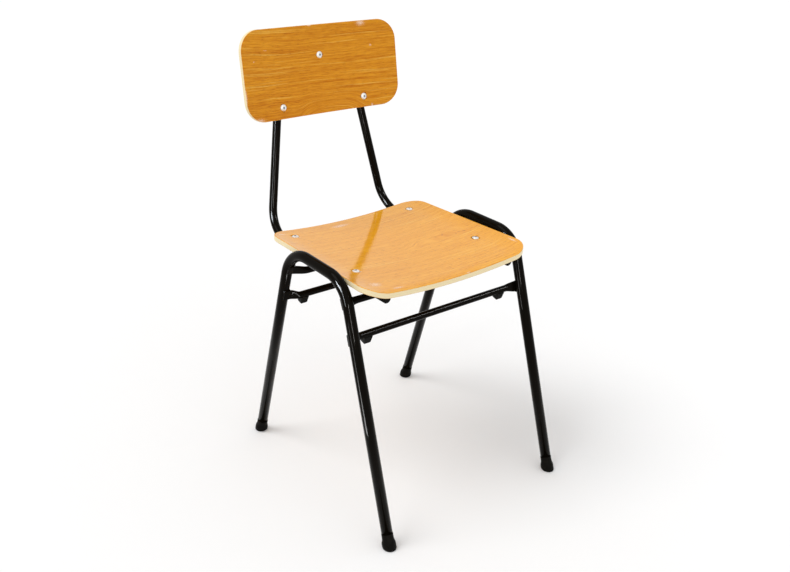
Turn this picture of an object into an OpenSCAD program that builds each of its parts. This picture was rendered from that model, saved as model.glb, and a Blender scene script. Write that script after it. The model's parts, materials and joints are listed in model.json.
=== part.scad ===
// School chair: two bent tube side frames joined by four cross rails with pressed ends,
// a bent hoop that carries the back, and two panels of moulded plywood.
// X is across the chair, the front faces -Y and the feet stand on Z = 0.
// Left and right are those of a person who looks at the front of the chair.

/* [Side frames] */
// Outer diameter of the leg tube
leg_od = 20; // [18:0.5:22]
// Wall of the leg tube
leg_wall = 1.5; // [1:0.1:2]
// Height of the centre line of the run beside the seat
run_h = 452; // [440:1:464]
// Front foot to rear foot, between centre lines on the floor
foot_span = 445; // [430:1:460]
// Across the front feet, between centre lines
front_foot_w = 398; // [396:1:430]
// Across the rear feet, between centre lines
rear_foot_w = 384; // [382:1:415]
// Lean of the front legs from upright, in degrees
front_lean = 18.7; // [17:0.1:20]
// Lean of the rear legs from upright, in degrees
rear_lean = 15.3; // [14:0.1:17]
// Bend radius at the top of the front legs
front_bend_r = 60; // [50:1:66]
// Bend radius at the top of the rear legs
rear_bend_r = 70; // [60:1:76]

/* [Cross rails] */
// Outer diameter of the cross rails
rail_od = 13; // [12:0.5:15]
// Wall of the cross rails
rail_wall = 1.5; // [1.2:0.1:1.6]
// From the run's centre line down to that of the front upper rail
front_rail_drop = 43; // [41:0.5:45]
// From the run's centre line down to that of the rear upper rail
rear_rail_drop = 46; // [44:0.5:48]
// From the run's centre line down to those of the two lower rails
lower_rail_drop = 102; // [87:1:152]
// Length over which a rail's end is pressed from round to flat
press_len = 15; // [12:0.5:15]
// Length of the flat at each end of a rail
flat_len = 14; // [12:0.5:14]
// How far a flat reaches past the centre line of the leg
flat_reach = 6; // [6:0.5:8]
// How far a flat is set over towards its leg from the rail's centre line
flat_set = 7.7; // [6:0.1:8]

/* [Back hoop] */
// Outer diameter of the hoop tube
hoop_od = 16; // [14:0.5:18]
// Wall of the hoop tube
hoop_wall = 1.5; // [1:0.1:2]
// Across the hoop's seat rails at their front ends, between centre lines
seat_rail_front_w = 283; // [278:1:288]
// Across the hoop at its lower corners, between centre lines
seat_rail_rear_w = 274; // [266:1:278]
// From the seat's front edge back to the ends of the seat rails
seat_rail_setback = 17; // [17:1:25]
// From the seat's rear edge back to the hoop's lower corners
hoop_clear = 49; // [49:1:60]
// Bend radius of the hoop's lower corners
hoop_low_r = 60; // [50:1:60]
// Bend radius of the hoop's top corners
hoop_top_r = 60; // [45:1:66]
// Height of the centre line of the hoop's top
hoop_top_h = 737; // [700:1:770]
// Across the hoop's top corners, between centre lines
hoop_top_w = 156; // [150:1:190]
// Lean of the back from upright, in degrees
back_lean = 10.4; // [7:0.1:14]

/* [Seat] */
// Gap between each side frame and the seat's front edge
seat_front_gap = 0.6; // [0.5:0.1:6]
// Gap between each side frame and the seat's rear edge
seat_rear_gap = 4.2; // [3:0.1:12]
// Front edge to rear edge
seat_depth = 339; // [320:1:350]
// From the line of the front feet back to the seat's front edge
seat_setback = 91.5; // [85:0.5:100]
// Radius of the seat's corners in plan
seat_corner_r = 40; // [30:1:60]
// Thickness of the seat panel
seat_t = 10.5; // [9:0.5:12]
// Radius of the shallow dish across the middle of the seat
seat_dish_r = 1400; // [1200:10:2000]
// Width of the shallow dish
seat_dish_w = 280; // [264:1:290]
// Radius of the rising sides, outside the dish
seat_side_r = 230; // [200:5:300]
// Length of the front edge that rolls down
seat_roll = 16; // [14:1:20]
// Radius of the rolled front edge
seat_roll_r = 90; // [60:1:100]

/* [Backrest] */
// Width of the backrest
back_w = 352; // [320:1:370]
// Height of the backrest, along its lean
back_h = 167.5; // [150:0.5:190]
// Radius of the backrest's corners
back_corner_r = 40.5; // [25:0.5:60]
// Thickness of the backrest panel
back_t = 10; // [8:0.5:12]
// Radius of the backrest's curve across the sitter's back
back_curve_r = 1190; // [900:10:1600]
// From the top bolt down to the middle of the backrest
back_drop = 27; // [20:0.5:35]
// From the middle of the backrest down to its two lower bolts
low_bolt_drop = 62.5; // [50:0.5:66]

/* [Fasteners] */
// Diameter of the bolts
bolt_d = 6; // [5:0.5:6]
// Diameter of the domed bolt heads
head_d = 13; // [11:0.5:15]
// Height of the domed bolt heads
head_h = 2.8; // [2:0.1:3.5]
// Width across the flats of the key sockets in the heads
key_af = 4; // [3:0.5:4]
// Width across the flats of the nuts
nut_af = 10; // [9:0.5:11]
// Height of the nuts
nut_h = 5; // [4:0.5:6]
// From the seat's front edge back to the front bolts
front_bolt_in = 105; // [98:1:130]
// From the seat's rear edge forward to the rear bolts
rear_bolt_in = 37; // [30:1:60]

/* [Foot caps, bumpers and plugs] */
// Wall of a foot cap where it is widest
cap_wall = 2.4; // [2:0.1:3]
// Wall of a foot cap at its upper rim
cap_lip = 0.6; // [0.5:0.1:1]
// Height of a foot cap, along its leg
cap_h = 28; // [22:1:34]
// Height up to which a foot cap keeps its full width, along its leg
cap_foot_h = 13; // [10:0.5:16]
// Thickness of the cap under the end of the tube, along the leg
cap_base = 7; // [6:0.5:9]
// Width of a stacking bumper, along its rail
bumper_w = 17; // [12:0.5:18]
// Width of a stacking bumper at its underside
bumper_low_w = 12; // [10:0.5:12]
// Depth of a stacking bumper, front to back
bumper_d = 14; // [13.5:0.5:16]
// From the centre of the rail down to the underside of a bumper
bumper_drop = 18; // [14:0.5:24]
// Backward lean of the bumpers, in degrees
bumper_lean = 15; // [0:1:25]
// From the centre line of a front leg in to its bumper
front_bumper_in = 40; // [32:1:60]
// From the centre line of a rear leg in to its bumper
rear_bumper_in = 32; // [32:1:60]
// Thickness of the plugs' heads in the ends of the seat rails
plug_head_t = 3; // [2:0.5:3]
// Length of the plugs' stems inside the seat rails
plug_stem = 14; // [8:1:20]

/* [Hidden] */

// Clearances, and what joined stretches of one piece run into each other
slide_fit = 0.15;
bear_gap = 0.1;
bolt_fit = 0.3;
thread_fit = 0.1;
weld_sink = 0.5;
bend_ease = 0.2;
slit = 0.4;
lap = 0.5;
swell = 0.05;
overrun = 5;
any_turn = 30;
round_fn = 64;
press_fn = 32;
arc_fn = 720;

paint = [0.09, 0.085, 0.08];
plastic = [0.13, 0.13, 0.12];
zinc = [0.78, 0.78, 0.76];
seat_wood = [0.93, 0.70, 0.38];
back_wood = [0.83, 0.55, 0.17];

function unit(v) = v / norm(v);
// A direction square to d that lies in no plane of symmetry, so that seams don't fall on each other
function any_side(d) = unit(cross(abs(d[0]) < 0.9 ? [1, 0.4, 0] : [0, 1, 0.4], d));

// Side frames: one flat bend each, toed out a little towards the front
foot_half_w = (front_foot_w + rear_foot_w) / 4;
toe = atan((front_foot_w - rear_foot_w) / 2 / foot_span);
plane_half = foot_span / 2 / cos(toe);
function leg_x(y) = foot_half_w - y * tan(toe);

// Cross rails: a flat lies against the inner side of its leg, also where the leg is already bending
flat_half_t = rail_wall + slit / 2;
flat_half_h = PI * rail_od / 4;
slit_half_h = PI * (rail_od - 2 * rail_wall) / 4;
standoff = leg_od / 2 + flat_half_t + flat_set - weld_sink;
function bend_y(lean, r) = run_h * tan(lean) + r * tan((90 - lean) / 2);
function bend_from_h(lean, r) = run_h - r + (r - standoff) * sin(lean);
function rail_lean(h, lean, r) =
  h > bend_from_h(lean, r) ? asin((h - run_h + r) / (r - standoff)) : lean;
function rail_inset(h, lean, r) =
  bend_y(lean, r) - (r - standoff) * cos(rail_lean(h, lean, r))
  - max(0, bend_from_h(lean, r) - h) * tan(lean);
function front_rail_y(h) = -foot_span / 2 + rail_inset(h, front_lean, front_bend_r);
function rear_rail_y(h) = foot_span / 2 - rail_inset(h, rear_lean, rear_bend_r);
front_rail_h = run_h - front_rail_drop;
rear_rail_h = run_h - rear_rail_drop;
lower_rail_h = run_h - lower_rail_drop;

// Seat and its rails as they would lie level, front to back from the line midway between the feet
seat_front_y = -foot_span / 2 + seat_setback;
seat_rear_y = seat_front_y + seat_depth;
seat_front_w = 2 * (leg_x(seat_front_y) - leg_od / 2 - seat_front_gap);
seat_rear_w = 2 * (leg_x(seat_rear_y) - leg_od / 2 - seat_rear_gap);
seat_rail_h = front_rail_h + rail_od / 2 + hoop_od / 2 + bear_gap;
seat_rail_front_y = seat_front_y + seat_rail_setback;
hoop_corner_y = seat_rear_y + hoop_clear;
splay = atan((seat_rail_front_w - seat_rail_rear_w) / 2 / (hoop_corner_y - seat_rail_front_y));
function seat_rail_x(y) = seat_rail_rear_w / 2 + (hoop_corner_y - y) * tan(splay);

// The seat rails lie on both upper cross rails, so they turn about the front one, down to the rear one
pivot_y = front_rail_y(front_rail_h);
seat_tilt = atan((front_rail_h - rear_rail_h) / (rear_rail_y(rear_rail_h) - pivot_y));
function tilted(y, z) = [pivot_y, front_rail_h]
  + (y - pivot_y) * [cos(seat_tilt), -sin(seat_tilt)]
  + (z - front_rail_h) * [sin(seat_tilt), cos(seat_tilt)];

// The hoop's own plane starts where the tilted seat rails meet the uprights
hoop_y = tilted(hoop_corner_y, seat_rail_h)[0];
hoop_h = tilted(hoop_corner_y, seat_rail_h)[1];
hoop_len = (hoop_top_h - hoop_h) / cos(back_lean);
upright_tilt = atan((seat_rail_rear_w - hoop_top_w) / 2 / hoop_len);
function upright_x(t) = seat_rail_rear_w / 2 - t * tan(upright_tilt);

// The seat comes down on its rails where they lie closest together, at the rear or under the rolled front
seat_r_out = seat_dish_r + seat_t;
roll_y = seat_front_y + seat_roll;
roll_at_plugs = max(0, roll_y - seat_rail_front_y + plug_head_t);
roll_drop = seat_roll_r - sqrt(pow(seat_roll_r, 2) - pow(roll_at_plugs, 2));
function bearing_h(x) = sqrt(pow(seat_r_out + hoop_od / 2 + bear_gap, 2) - pow(x, 2));
dish_axis_h = seat_rail_h
  + max(bearing_h(seat_rail_x(seat_rear_y)), bearing_h(seat_rail_x(seat_rail_front_y)) + roll_drop);
seat_top_h = dish_axis_h - seat_dish_r;
front_bolt_y = seat_front_y + front_bolt_in;
rear_bolt_y = seat_rear_y - rear_bolt_in;
function dish_h(x) = dish_axis_h - sqrt(pow(seat_dish_r, 2) - pow(x, 2));

// Backrest, in the hoop's own plane: t runs up the lean from the hoop's lower corners
back_mid_t = hoop_len - back_drop;
low_bolt_t = back_mid_t - low_bolt_drop;
low_bolt_x = upright_x(low_bolt_t);
back_r_out = back_curve_r + back_t;
back_rear = hoop_od / 2 + bear_gap;
back_axis = back_rear + back_r_out;
function front_sag(x) = back_curve_r - sqrt(pow(back_curve_r, 2) - pow(x, 2));

// Fasteners: heads are let into the panels a little, to sit flat on the curve
head_sink = 0.9;
head_rim = 0.8;
head_clear = 0.3;
bolt_proud = 1.5;
bolt_tip = 0.7;
key_depth = 1.6;
flange_h = 1.2;
flange_d = 12.4;
spacer_d = 11.5;
nut_face = hoop_od / 2 + bear_gap;
bolt_end = nut_face + nut_h + bolt_proud;
function seat_head_h(y) = dish_h(seat_rail_x(y)) - seat_rail_h - head_sink;
function back_head_out(x) = back_rear + back_t + front_sag(x) - head_sink;

// Foot caps, bumpers and plugs
cap_r = leg_od / 2 + slide_fit + cap_wall;
bumper_wrap = 2.2;
bumper_round = 3;
stem_d = 5;
stem_in = 3;
plug_edge = 1;

// The origin stands below the middle of the whole chair, front to back
front_reach = foot_span / 2 + cap_r / cos(front_lean);
rear_reach = hoop_y + hoop_len * sin(back_lean)
  + bolt_end * cos(back_lean) + (bolt_d / 2 - bolt_tip) * sin(back_lean);
middle_y = (rear_reach - front_reach) / 2;

// Moves a piece from the feet's midline to the chair's own origin
module in_place() {
  translate([0, -middle_y, 0]) children();
}

// Puts children at p, with their X and Y axes along x and y
module frame_at(p, x, y) {
  z = cross(x, y);
  multmatrix([[x[0], y[0], z[0], p[0]], [x[1], y[1], z[1], p[1]], [x[2], y[2], z[2], p[2]], [0, 0, 0, 1]])
    children();
}

// A piece on the right side, or its mirror image on the left
module on_side(side) {
  mirror([side < 0 ? 1 : 0, 0, 0]) children();
}

// Stands children in a side frame's plane, Y along the floor and Z up
module in_leg_plane() {
  translate([foot_half_w, 0, 0]) rotate([0, 0, toe]) children();
}

// Tilts what is made for a level seat
module in_seat_plane() {
  translate([0, pivot_y, front_rail_h]) rotate([-seat_tilt, 0, 0])
    translate([0, -pivot_y, -front_rail_h]) children();
}

// Stands children in the hoop's plane, X across, Y out of its rear and Z up its lean
module in_hoop_plane() {
  translate([0, hoop_y, hoop_h]) rotate([-back_lean, 0, 0]) children();
}

// Round bar of radius rad along the corner points p, bent to the radius r[i] at each
function turn(p, i) = acos(unit(p[i] - p[i - 1]) * unit(p[i + 1] - p[i]));
function is_end(p, i) = i == 0 || i == len(p) - 1;
function cut_back(p, r, i) = is_end(p, i) ? 0 : r[i] * tan(turn(p, i) / 2);
function lap_at(p, i) = is_end(p, i) ? 0 : lap;

module bent_bar(p, r, rad, grow = swell) {
  for (i = [0:len(p) - 2]) {
    way = unit(p[i + 1] - p[i]);
    side = any_side(way);
    run = norm(p[i + 1] - p[i]) - cut_back(p, r, i) - cut_back(p, r, i + 1);
    frame_at(p[i] + (cut_back(p, r, i) - lap_at(p, i)) * way, side, cross(way, side))
      cylinder(r = rad, h = run + lap_at(p, i) + lap_at(p, i + 1), $fn = round_fn);
  }
  for (i = [1:len(p) - 2]) {
    way = unit(p[i] - p[i - 1]);
    next = unit(p[i + 1] - p[i]);
    inward = unit(next - (way * next) * way);
    frame_at(p[i] - cut_back(p, r, i) * way + r[i] * inward, -inward, way)
      rotate_extrude(angle = turn(p, i), $fn = arc_fn / 6)
        translate([r[i], 0]) rotate(any_turn) circle(r = rad + grow, $fn = round_fn);
  }
}

// Outline with round corners, its front edge on Y = 0 and its rear edge at depth
module rounded_outline(front_w, rear_w, depth, r) {
  taper = atan((front_w - rear_w) / 2 / depth);
  front = [front_w / 2 - r * tan(taper) - r / cos(taper), r];
  rear = [front_w / 2 - (depth - r) * tan(taper) - r / cos(taper), depth - r];
  out = r * [cos(taper), sin(taper)];
  half = [front - [0, r], front + out, rear + out, rear + [0, r]];
  polygon(concat(half, [for (i = [len(half) - 1:-1:0]) [-half[i][0], half[i][1]]]));
  for (side = [-1, 1], centre = [front, rear])
    translate([side * centre[0], centre[1]]) circle(r = r + swell, $fn = round_fn);
}

// Stretch of a ring about c, of inner radius r and thickness t, grown by grow on both faces
module ring_stretch(c, r, t, from, to, grow) {
  far = 2 * (r + t);
  intersection() {
    translate(c) difference() {
      circle(r = r + t + grow, $fn = arc_fn);
      circle(r = r - grow, $fn = arc_fn);
    }
    polygon([c, c + far * [cos(from), sin(from)], c + far * [cos(to), sin(to)]]);
  }
}

// Side frame: one hollow tube, bent to an inverted U
front_foot = [0, -plane_half, 0];
front_top = [0, -plane_half + run_h * tan(front_lean), run_h];
rear_top = [0, plane_half - run_h * tan(rear_lean), run_h];
rear_foot = [0, plane_half, 0];

module leg_bar(rad, from) {
  in_leg_plane() bent_bar(
    [front_foot + from * unit(front_top - front_foot), front_top,
     rear_top, rear_foot + from * unit(rear_top - rear_foot)],
    [0, front_bend_r, rear_bend_r, 0], rad);
}

module side_frame(side) {
  in_place() on_side(side) color(paint) difference() {
    leg_bar(leg_od / 2, cap_base + bear_gap);
    leg_bar(leg_od / 2 - leg_wall, cap_base - overrun);
  }
}

// Space that one leg takes up, with its bend, to cope the end of a rail
module leg_space(behind) {
  run_middle = (front_top + rear_top) / 2;
  in_leg_plane() bent_bar(
    behind ? [run_middle, rear_top, rear_foot] : [front_foot, front_top, run_middle],
    [0, behind ? rear_bend_r : front_bend_r, 0], leg_od / 2 + bear_gap, bend_ease);
}

// Cross rail: round tube, each end pressed to a flat that is set over towards its leg
module flat_section(half_t, half_h) {
  edge = half_t / 2;
  right = [[half_t - edge, -half_h], [half_t, edge - half_h],
           [half_t, half_h - edge], [half_t - edge, half_h]];
  translate([-flat_set, 0])
    polygon(concat(right, [for (i = [len(right) - 1:-1:0]) [-right[i][0], right[i][1]]]));
}

module pressed_bar(half_len, beyond, rad, half_t, half_h) {
  flat_x = half_len - flat_len;
  round_x = flat_x - press_len;
  rotate([90, 0, 90]) cylinder(r = rad, h = 2 * (round_x + lap), center = true, $fn = round_fn);
  for (side = [-1, 1]) on_side(side) {
    hull() {
      translate([round_x, 0, 0]) rotate([90, 0, 90])
        cylinder(r = rad / cos(180 / press_fn) + swell, h = lap, $fn = press_fn);
      translate([flat_x, 0, 0]) rotate([90, 0, 90])
        linear_extrude(height = lap) flat_section(half_t, half_h);
    }
    translate([flat_x, 0, 0]) rotate([90, 0, 90])
      linear_extrude(height = flat_len + beyond) flat_section(half_t + swell, half_h + swell);
  }
}

module cross_rail(h, behind) {
  y = behind ? rear_rail_y(h) : front_rail_y(h);
  lean = behind ? rail_lean(h, rear_lean, rear_bend_r) : rail_lean(h, front_lean, front_bend_r);
  half_len = leg_x(y) + flat_reach;
  in_place() color(paint) difference() {
    translate([0, y, h]) mirror([0, behind ? 1 : 0, 0]) rotate([-lean, 0, 0]) difference() {
      pressed_bar(half_len, 0, rail_od / 2, flat_half_t, flat_half_h);
      pressed_bar(half_len, overrun, rail_od / 2 - rail_wall, slit / 2, slit_half_h);
    }
    for (side = [-1, 1]) on_side(side) leg_space(behind);
  }
}

module lower_rail(behind) {
  difference() {
    cross_rail(lower_rail_h, behind);
    for (side = [-1, 1]) at_bumper(side, behind) translate([0, 0, -rail_od])
      cylinder(r = stem_d / 2 + slide_fit, h = rail_od, $fn = round_fn);
  }
}

// Back hoop: seat rails, lower bends, uprights and top in one hollow tube
module hoop_bar(rad, beyond) {
  end = tilted(seat_rail_front_y - beyond, seat_rail_h);
  half = [[seat_rail_front_w / 2, end[0], end[1]],
          [seat_rail_rear_w / 2, hoop_y, hoop_h],
          [hoop_top_w / 2, hoop_y + hoop_len * sin(back_lean), hoop_top_h]];
  other = [for (i = [len(half) - 1:-1:0]) [-half[i][0], half[i][1], half[i][2]]];
  bent_bar(concat(half, other), [0, hoop_low_r, hoop_top_r, hoop_top_r, hoop_low_r, 0], rad);
}

// Seat bolts stand with Z square to the seat and Z = 0 on the centre line of their seat rail
module at_seat_bolt(y) {
  in_seat_plane() for (side = [-1, 1]) translate([side * seat_rail_x(y), y, seat_rail_h]) children();
}

// Back bolts stand with Z to the front and Z = 0 in the plane of the hoop
module at_top_bolt() {
  in_hoop_plane() translate([0, 0, hoop_len]) rotate([90, 0, 0]) children();
}

module at_low_bolts() {
  in_hoop_plane() for (side = [-1, 1]) translate([side * low_bolt_x, 0, low_bolt_t])
    rotate([90, 0, 0]) children();
}

module bolt_hole() {
  cylinder(r = bolt_d / 2 + bolt_fit, h = 2 * (bolt_end + hoop_od), center = true, $fn = round_fn);
}

module back_hoop() {
  in_place() color(paint) difference() {
    hoop_bar(hoop_od / 2, 0);
    hoop_bar(hoop_od / 2 - hoop_wall, overrun);
    for (y = [front_bolt_y, rear_bolt_y]) at_seat_bolt(y) bolt_hole();
    at_top_bolt() bolt_hole();
    at_low_bolts() bolt_hole();
  }
}

// Recess for a bolt's head, with its hole, for a head that bears at height z
module head_seat(z) {
  bolt_hole();
  translate([0, 0, z]) cylinder(r = head_d / 2 + head_clear, h = hoop_od, $fn = round_fn);
}

// Seat: a shallow dish with rising sides, carried on into a rolled front edge
module seat_section(grow) {
  dish_angle = asin(seat_dish_w / 2 / seat_dish_r);
  side_axis = [0, seat_dish_r] + (seat_dish_r - seat_side_r) * [sin(dish_angle), -cos(dish_angle)];
  side_angle = asin((seat_front_w / 2 + overrun - side_axis[0]) / seat_side_r);
  lap_angle = asin(lap / seat_dish_r);
  ring_stretch([0, seat_dish_r], seat_dish_r, seat_t,
               -90 - dish_angle - lap_angle, -90 + dish_angle + lap_angle, grow);
  for (side = [-1, 1]) mirror([side < 0 ? 1 : 0, 0])
    ring_stretch(side_axis, seat_side_r, seat_t, -90 + dish_angle, -90 + side_angle, grow + swell);
}

module seat_sheet() {
  roll_angle = asin((seat_roll + overrun) / seat_roll_r);
  translate([0, seat_rear_y + overrun, seat_top_h]) rotate([90, 0, 0])
    linear_extrude(height = seat_rear_y + overrun - roll_y + lap) seat_section(0);
  frame_at([0, roll_y, seat_top_h - seat_roll_r], [0, 0, 1], [0, -1, 0])
    rotate_extrude(angle = roll_angle, $fn = arc_fn / 2)
      translate([seat_roll_r, 0]) rotate(-90) seat_section(swell);
}

module seat_panel() {
  reach = seat_dish_r - seat_side_r;
  in_place() color(seat_wood) difference() {
    in_seat_plane() intersection() {
      translate([0, seat_front_y, seat_top_h - reach]) linear_extrude(height = 2 * reach)
        rounded_outline(seat_front_w, seat_rear_w, seat_depth, seat_corner_r);
      seat_sheet();
    }
    for (y = [front_bolt_y, rear_bolt_y]) at_seat_bolt(y) head_seat(seat_head_h(y));
  }
}

// Backrest: one curve across, cut to a rounded outline
module backrest_panel() {
  half_angle = asin((back_w / 2 + overrun) / back_curve_r);
  in_place() color(back_wood) difference() {
    in_hoop_plane() translate([0, 0, back_mid_t]) intersection() {
      translate([0, 0, -back_h / 2]) rotate([90, 0, 0])
        linear_extrude(height = back_axis) rounded_outline(back_w, back_w, back_h, back_corner_r);
      translate([0, 0, -back_h]) linear_extrude(height = 2 * back_h)
        ring_stretch([0, -back_axis], back_curve_r, back_t, 90 - half_angle, 90 + half_angle, 0);
    }
    at_top_bolt() head_seat(back_head_out(0));
    at_low_bolts() head_seat(back_head_out(low_bolt_x));
  }
}

// Foot cap: a sleeve on the end of the leg that widens to a foot, cut off flat where it stands on the floor
module foot_cap(side, behind) {
  lean = behind ? rear_lean : front_lean;
  low = cap_r * tan(lean) + overrun;
  bore_r = leg_od / 2 + slide_fit;
  in_place() on_side(side) color(plastic) difference() {
    in_leg_plane() translate(behind ? rear_foot : front_foot) rotate([behind ? lean : -lean, 0, 0])
      rotate_extrude($fn = round_fn) polygon([
        [0, -low], [cap_r, -low], [cap_r, cap_foot_h], [bore_r + cap_lip, cap_h],
        [bore_r, cap_h], [bore_r, cap_base], [0, cap_base]]);
    translate([-foot_span, -foot_span, -cap_h]) cube([2 * foot_span, 2 * foot_span, cap_h]);
  }
}

// Stacking bumper: a block that saddles its rail from below, held by a stem in the rail
module at_bumper(side, behind) {
  y = behind ? rear_rail_y(lower_rail_h) : front_rail_y(lower_rail_h);
  x = leg_x(y) - (behind ? rear_bumper_in : front_bumper_in);
  in_place() on_side(side) translate([x, y, lower_rail_h]) rotate([bumper_lean, 0, 0]) children();
}

module bumper(side, behind) {
  low_x = bumper_low_w / 2 - bumper_round;
  at_bumper(side, behind) color(plastic) {
    difference() {
      hull() {
        translate([-bumper_w / 2, -bumper_d / 2, -rail_od / 2])
          cube([bumper_w, bumper_d, rail_od / 2 - bumper_wrap]);
        for (x = [-low_x, low_x]) translate([x, 0, bumper_round - bumper_drop]) rotate([90, 0, 0])
          cylinder(r = bumper_round, h = bumper_d, center = true, $fn = press_fn);
      }
      rotate([0, 90, 0])
        cylinder(r = rail_od / 2 + slide_fit, h = bumper_w + overrun, center = true, $fn = round_fn);
    }
    translate([0, 0, -rail_od / 2 - stem_in])
      cylinder(r = stem_d / 2, h = rail_wall + 2 * stem_in, $fn = round_fn);
  }
}

// Plug in the front end of a seat rail
module rail_plug(side) {
  stem_r = hoop_od / 2 - hoop_wall - slide_fit;
  in_place() on_side(side) color(plastic) in_seat_plane()
    translate([seat_rail_front_w / 2, seat_rail_front_y, seat_rail_h])
      rotate([0, 0, splay]) rotate([90, 0, 0]) rotate_extrude($fn = round_fn) polygon([
        [0, -plug_stem], [stem_r, -plug_stem], [stem_r, bear_gap], [hoop_od / 2, bear_gap],
        [hoop_od / 2, plug_head_t - plug_edge], [hoop_od / 2 - plug_edge, plug_head_t], [0, plug_head_t]]);
}

// Bolt along Z: domed head with a key socket, bearing at height z, tip at -bolt_end
module bolt(z) {
  dome_h = head_h - head_rim;
  dome_r = (pow(head_d / 2, 2) + pow(dome_h, 2)) / (2 * dome_h);
  color(zinc) difference() {
    union() {
      intersection() {
        translate([0, 0, z]) cylinder(r = head_d / 2, h = head_h, $fn = round_fn);
        translate([0, 0, z + head_h - dome_r]) sphere(r = dome_r, $fn = 2 * round_fn);
      }
      rotate_extrude($fn = round_fn) polygon([
        [0, -bolt_end], [bolt_d / 2 - bolt_tip, -bolt_end], [bolt_d / 2, bolt_tip - bolt_end],
        [bolt_d / 2, z + head_rim], [0, z + head_rim]]);
    }
    translate([0, 0, z + head_h - key_depth])
      cylinder(r = key_af / 2 / cos(30), h = key_depth + overrun, $fn = 6);
  }
}

// Flanged nut that bears on the far side of the hoop tube
module nut() {
  color(zinc) difference() {
    union() {
      translate([0, 0, -nut_face - flange_h]) cylinder(r = flange_d / 2, h = flange_h, $fn = round_fn);
      translate([0, 0, -nut_face - nut_h])
        cylinder(r = nut_af / 2 / cos(30), h = nut_h - flange_h / 2, $fn = 6);
    }
    translate([0, 0, -bolt_end])
      cylinder(r = bolt_d / 2 + thread_fit, h = bolt_end, $fn = round_fn);
  }
}

module seat_bolts() {
  in_place() for (y = [front_bolt_y, rear_bolt_y]) at_seat_bolt(y) bolt(seat_head_h(y));
}

module seat_nuts() {
  in_place() for (y = [front_bolt_y, rear_bolt_y]) at_seat_bolt(y) nut();
}

module back_bolts() {
  in_place() at_top_bolt() bolt(back_head_out(0));
  in_place() at_low_bolts() bolt(back_head_out(low_bolt_x));
}

module back_nuts() {
  in_place() at_top_bolt() nut();
  in_place() at_low_bolts() nut();
}

// Spacer in the wedge between an upright and the curved back, shaped to both
module spacer() {
  sheet_out = back_rear + back_r_out - sqrt(pow(back_r_out, 2) - pow(low_bolt_x, 2));
  sheet_tilt = asin(low_bolt_x / back_r_out);
  in_hoop_plane() translate([low_bolt_x, 0, low_bolt_t]) difference() {
    rotate([90, 0, 0]) difference() {
      cylinder(r = spacer_d / 2, h = back_rear + back_t, $fn = round_fn);
      bolt_hole();
      translate([0, 0, sheet_out - bear_gap]) rotate([0, -sheet_tilt, 0])
        translate([-spacer_d, -spacer_d, 0]) cube([2 * spacer_d, 2 * spacer_d, spacer_d]);
    }
    rotate([0, -upright_tilt, 0])
      cylinder(r = hoop_od / 2 + bear_gap, h = 2 * spacer_d, center = true, $fn = round_fn);
  }
}

module back_spacers() {
  in_place() color(plastic) for (side = [-1, 1]) on_side(side) spacer();
}

side_frame(-1);  // side_frame_left
side_frame(1);  // side_frame_right
cross_rail(front_rail_h, false);  // front_upper_rail
lower_rail(false);  // front_lower_rail
cross_rail(rear_rail_h, true);  // rear_upper_rail
lower_rail(true);  // rear_lower_rail
back_hoop();
seat_panel();
backrest_panel();
foot_cap(-1, false);  // foot_cap_front_left
foot_cap(1, false);  // foot_cap_front_right
foot_cap(-1, true);  // foot_cap_rear_left
foot_cap(1, true);  // foot_cap_rear_right
bumper(-1, false);  // bumper_front_left
bumper(1, false);  // bumper_front_right
bumper(-1, true);  // bumper_rear_left
bumper(1, true);  // bumper_rear_right
rail_plug(-1);  // rail_plug_left
rail_plug(1);  // rail_plug_right
seat_bolts();
seat_nuts();
back_bolts();
back_nuts();
back_spacers();
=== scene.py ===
"""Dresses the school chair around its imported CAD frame.

Lengths are in metres. X is across the chair, its front faces -Y and its feet stand on Z = 0.
Left and right are those of a person who looks at the front of the chair.
"""

import json
import logging
import math
from dataclasses import dataclass, field
from enum import Enum
from typing import Callable, Iterable, Mapping, Optional, Sequence, Union

import bmesh
import bpy
import numpy as np
from mathutils import Matrix, Vector
from mathutils.geometry import delaunay_2d_cdt

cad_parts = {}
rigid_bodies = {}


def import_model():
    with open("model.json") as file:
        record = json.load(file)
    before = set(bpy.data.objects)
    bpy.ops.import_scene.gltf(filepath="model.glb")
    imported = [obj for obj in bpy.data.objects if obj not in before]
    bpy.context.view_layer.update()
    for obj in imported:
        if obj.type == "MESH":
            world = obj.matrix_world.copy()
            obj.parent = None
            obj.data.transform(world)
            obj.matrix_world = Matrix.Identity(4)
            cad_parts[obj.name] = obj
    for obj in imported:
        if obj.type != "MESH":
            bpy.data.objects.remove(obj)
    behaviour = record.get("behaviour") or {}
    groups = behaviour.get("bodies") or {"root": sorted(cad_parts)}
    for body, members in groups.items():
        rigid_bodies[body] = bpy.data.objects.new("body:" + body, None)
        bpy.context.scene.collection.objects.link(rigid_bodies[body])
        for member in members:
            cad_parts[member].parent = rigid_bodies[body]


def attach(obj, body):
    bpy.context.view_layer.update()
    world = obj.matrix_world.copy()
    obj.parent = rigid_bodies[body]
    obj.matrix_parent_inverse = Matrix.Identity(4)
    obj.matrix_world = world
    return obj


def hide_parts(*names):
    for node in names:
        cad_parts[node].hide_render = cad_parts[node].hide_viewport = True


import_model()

LOG = logging.getLogger("school_chair")
BODY = "root"
MM = 0.001
TURN = 2.0 * math.pi
CREASE = math.radians(38.0)

Number = Union[float, "Sock"]
Point = Sequence[float]
Colour = tuple[float, float, float]
Span = tuple[float, float]
Settings = Optional[Mapping[str, object]]
Sockets = Optional[Mapping[Union[int, str], object]]


class Slot(Enum):
    """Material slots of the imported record."""

    PAINT = "frame_paint"
    PLASTIC = "black_plastic"
    SEAT = "seat_ply"
    BACK = "back_ply"
    ZINC = "bolt_zinc"


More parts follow.
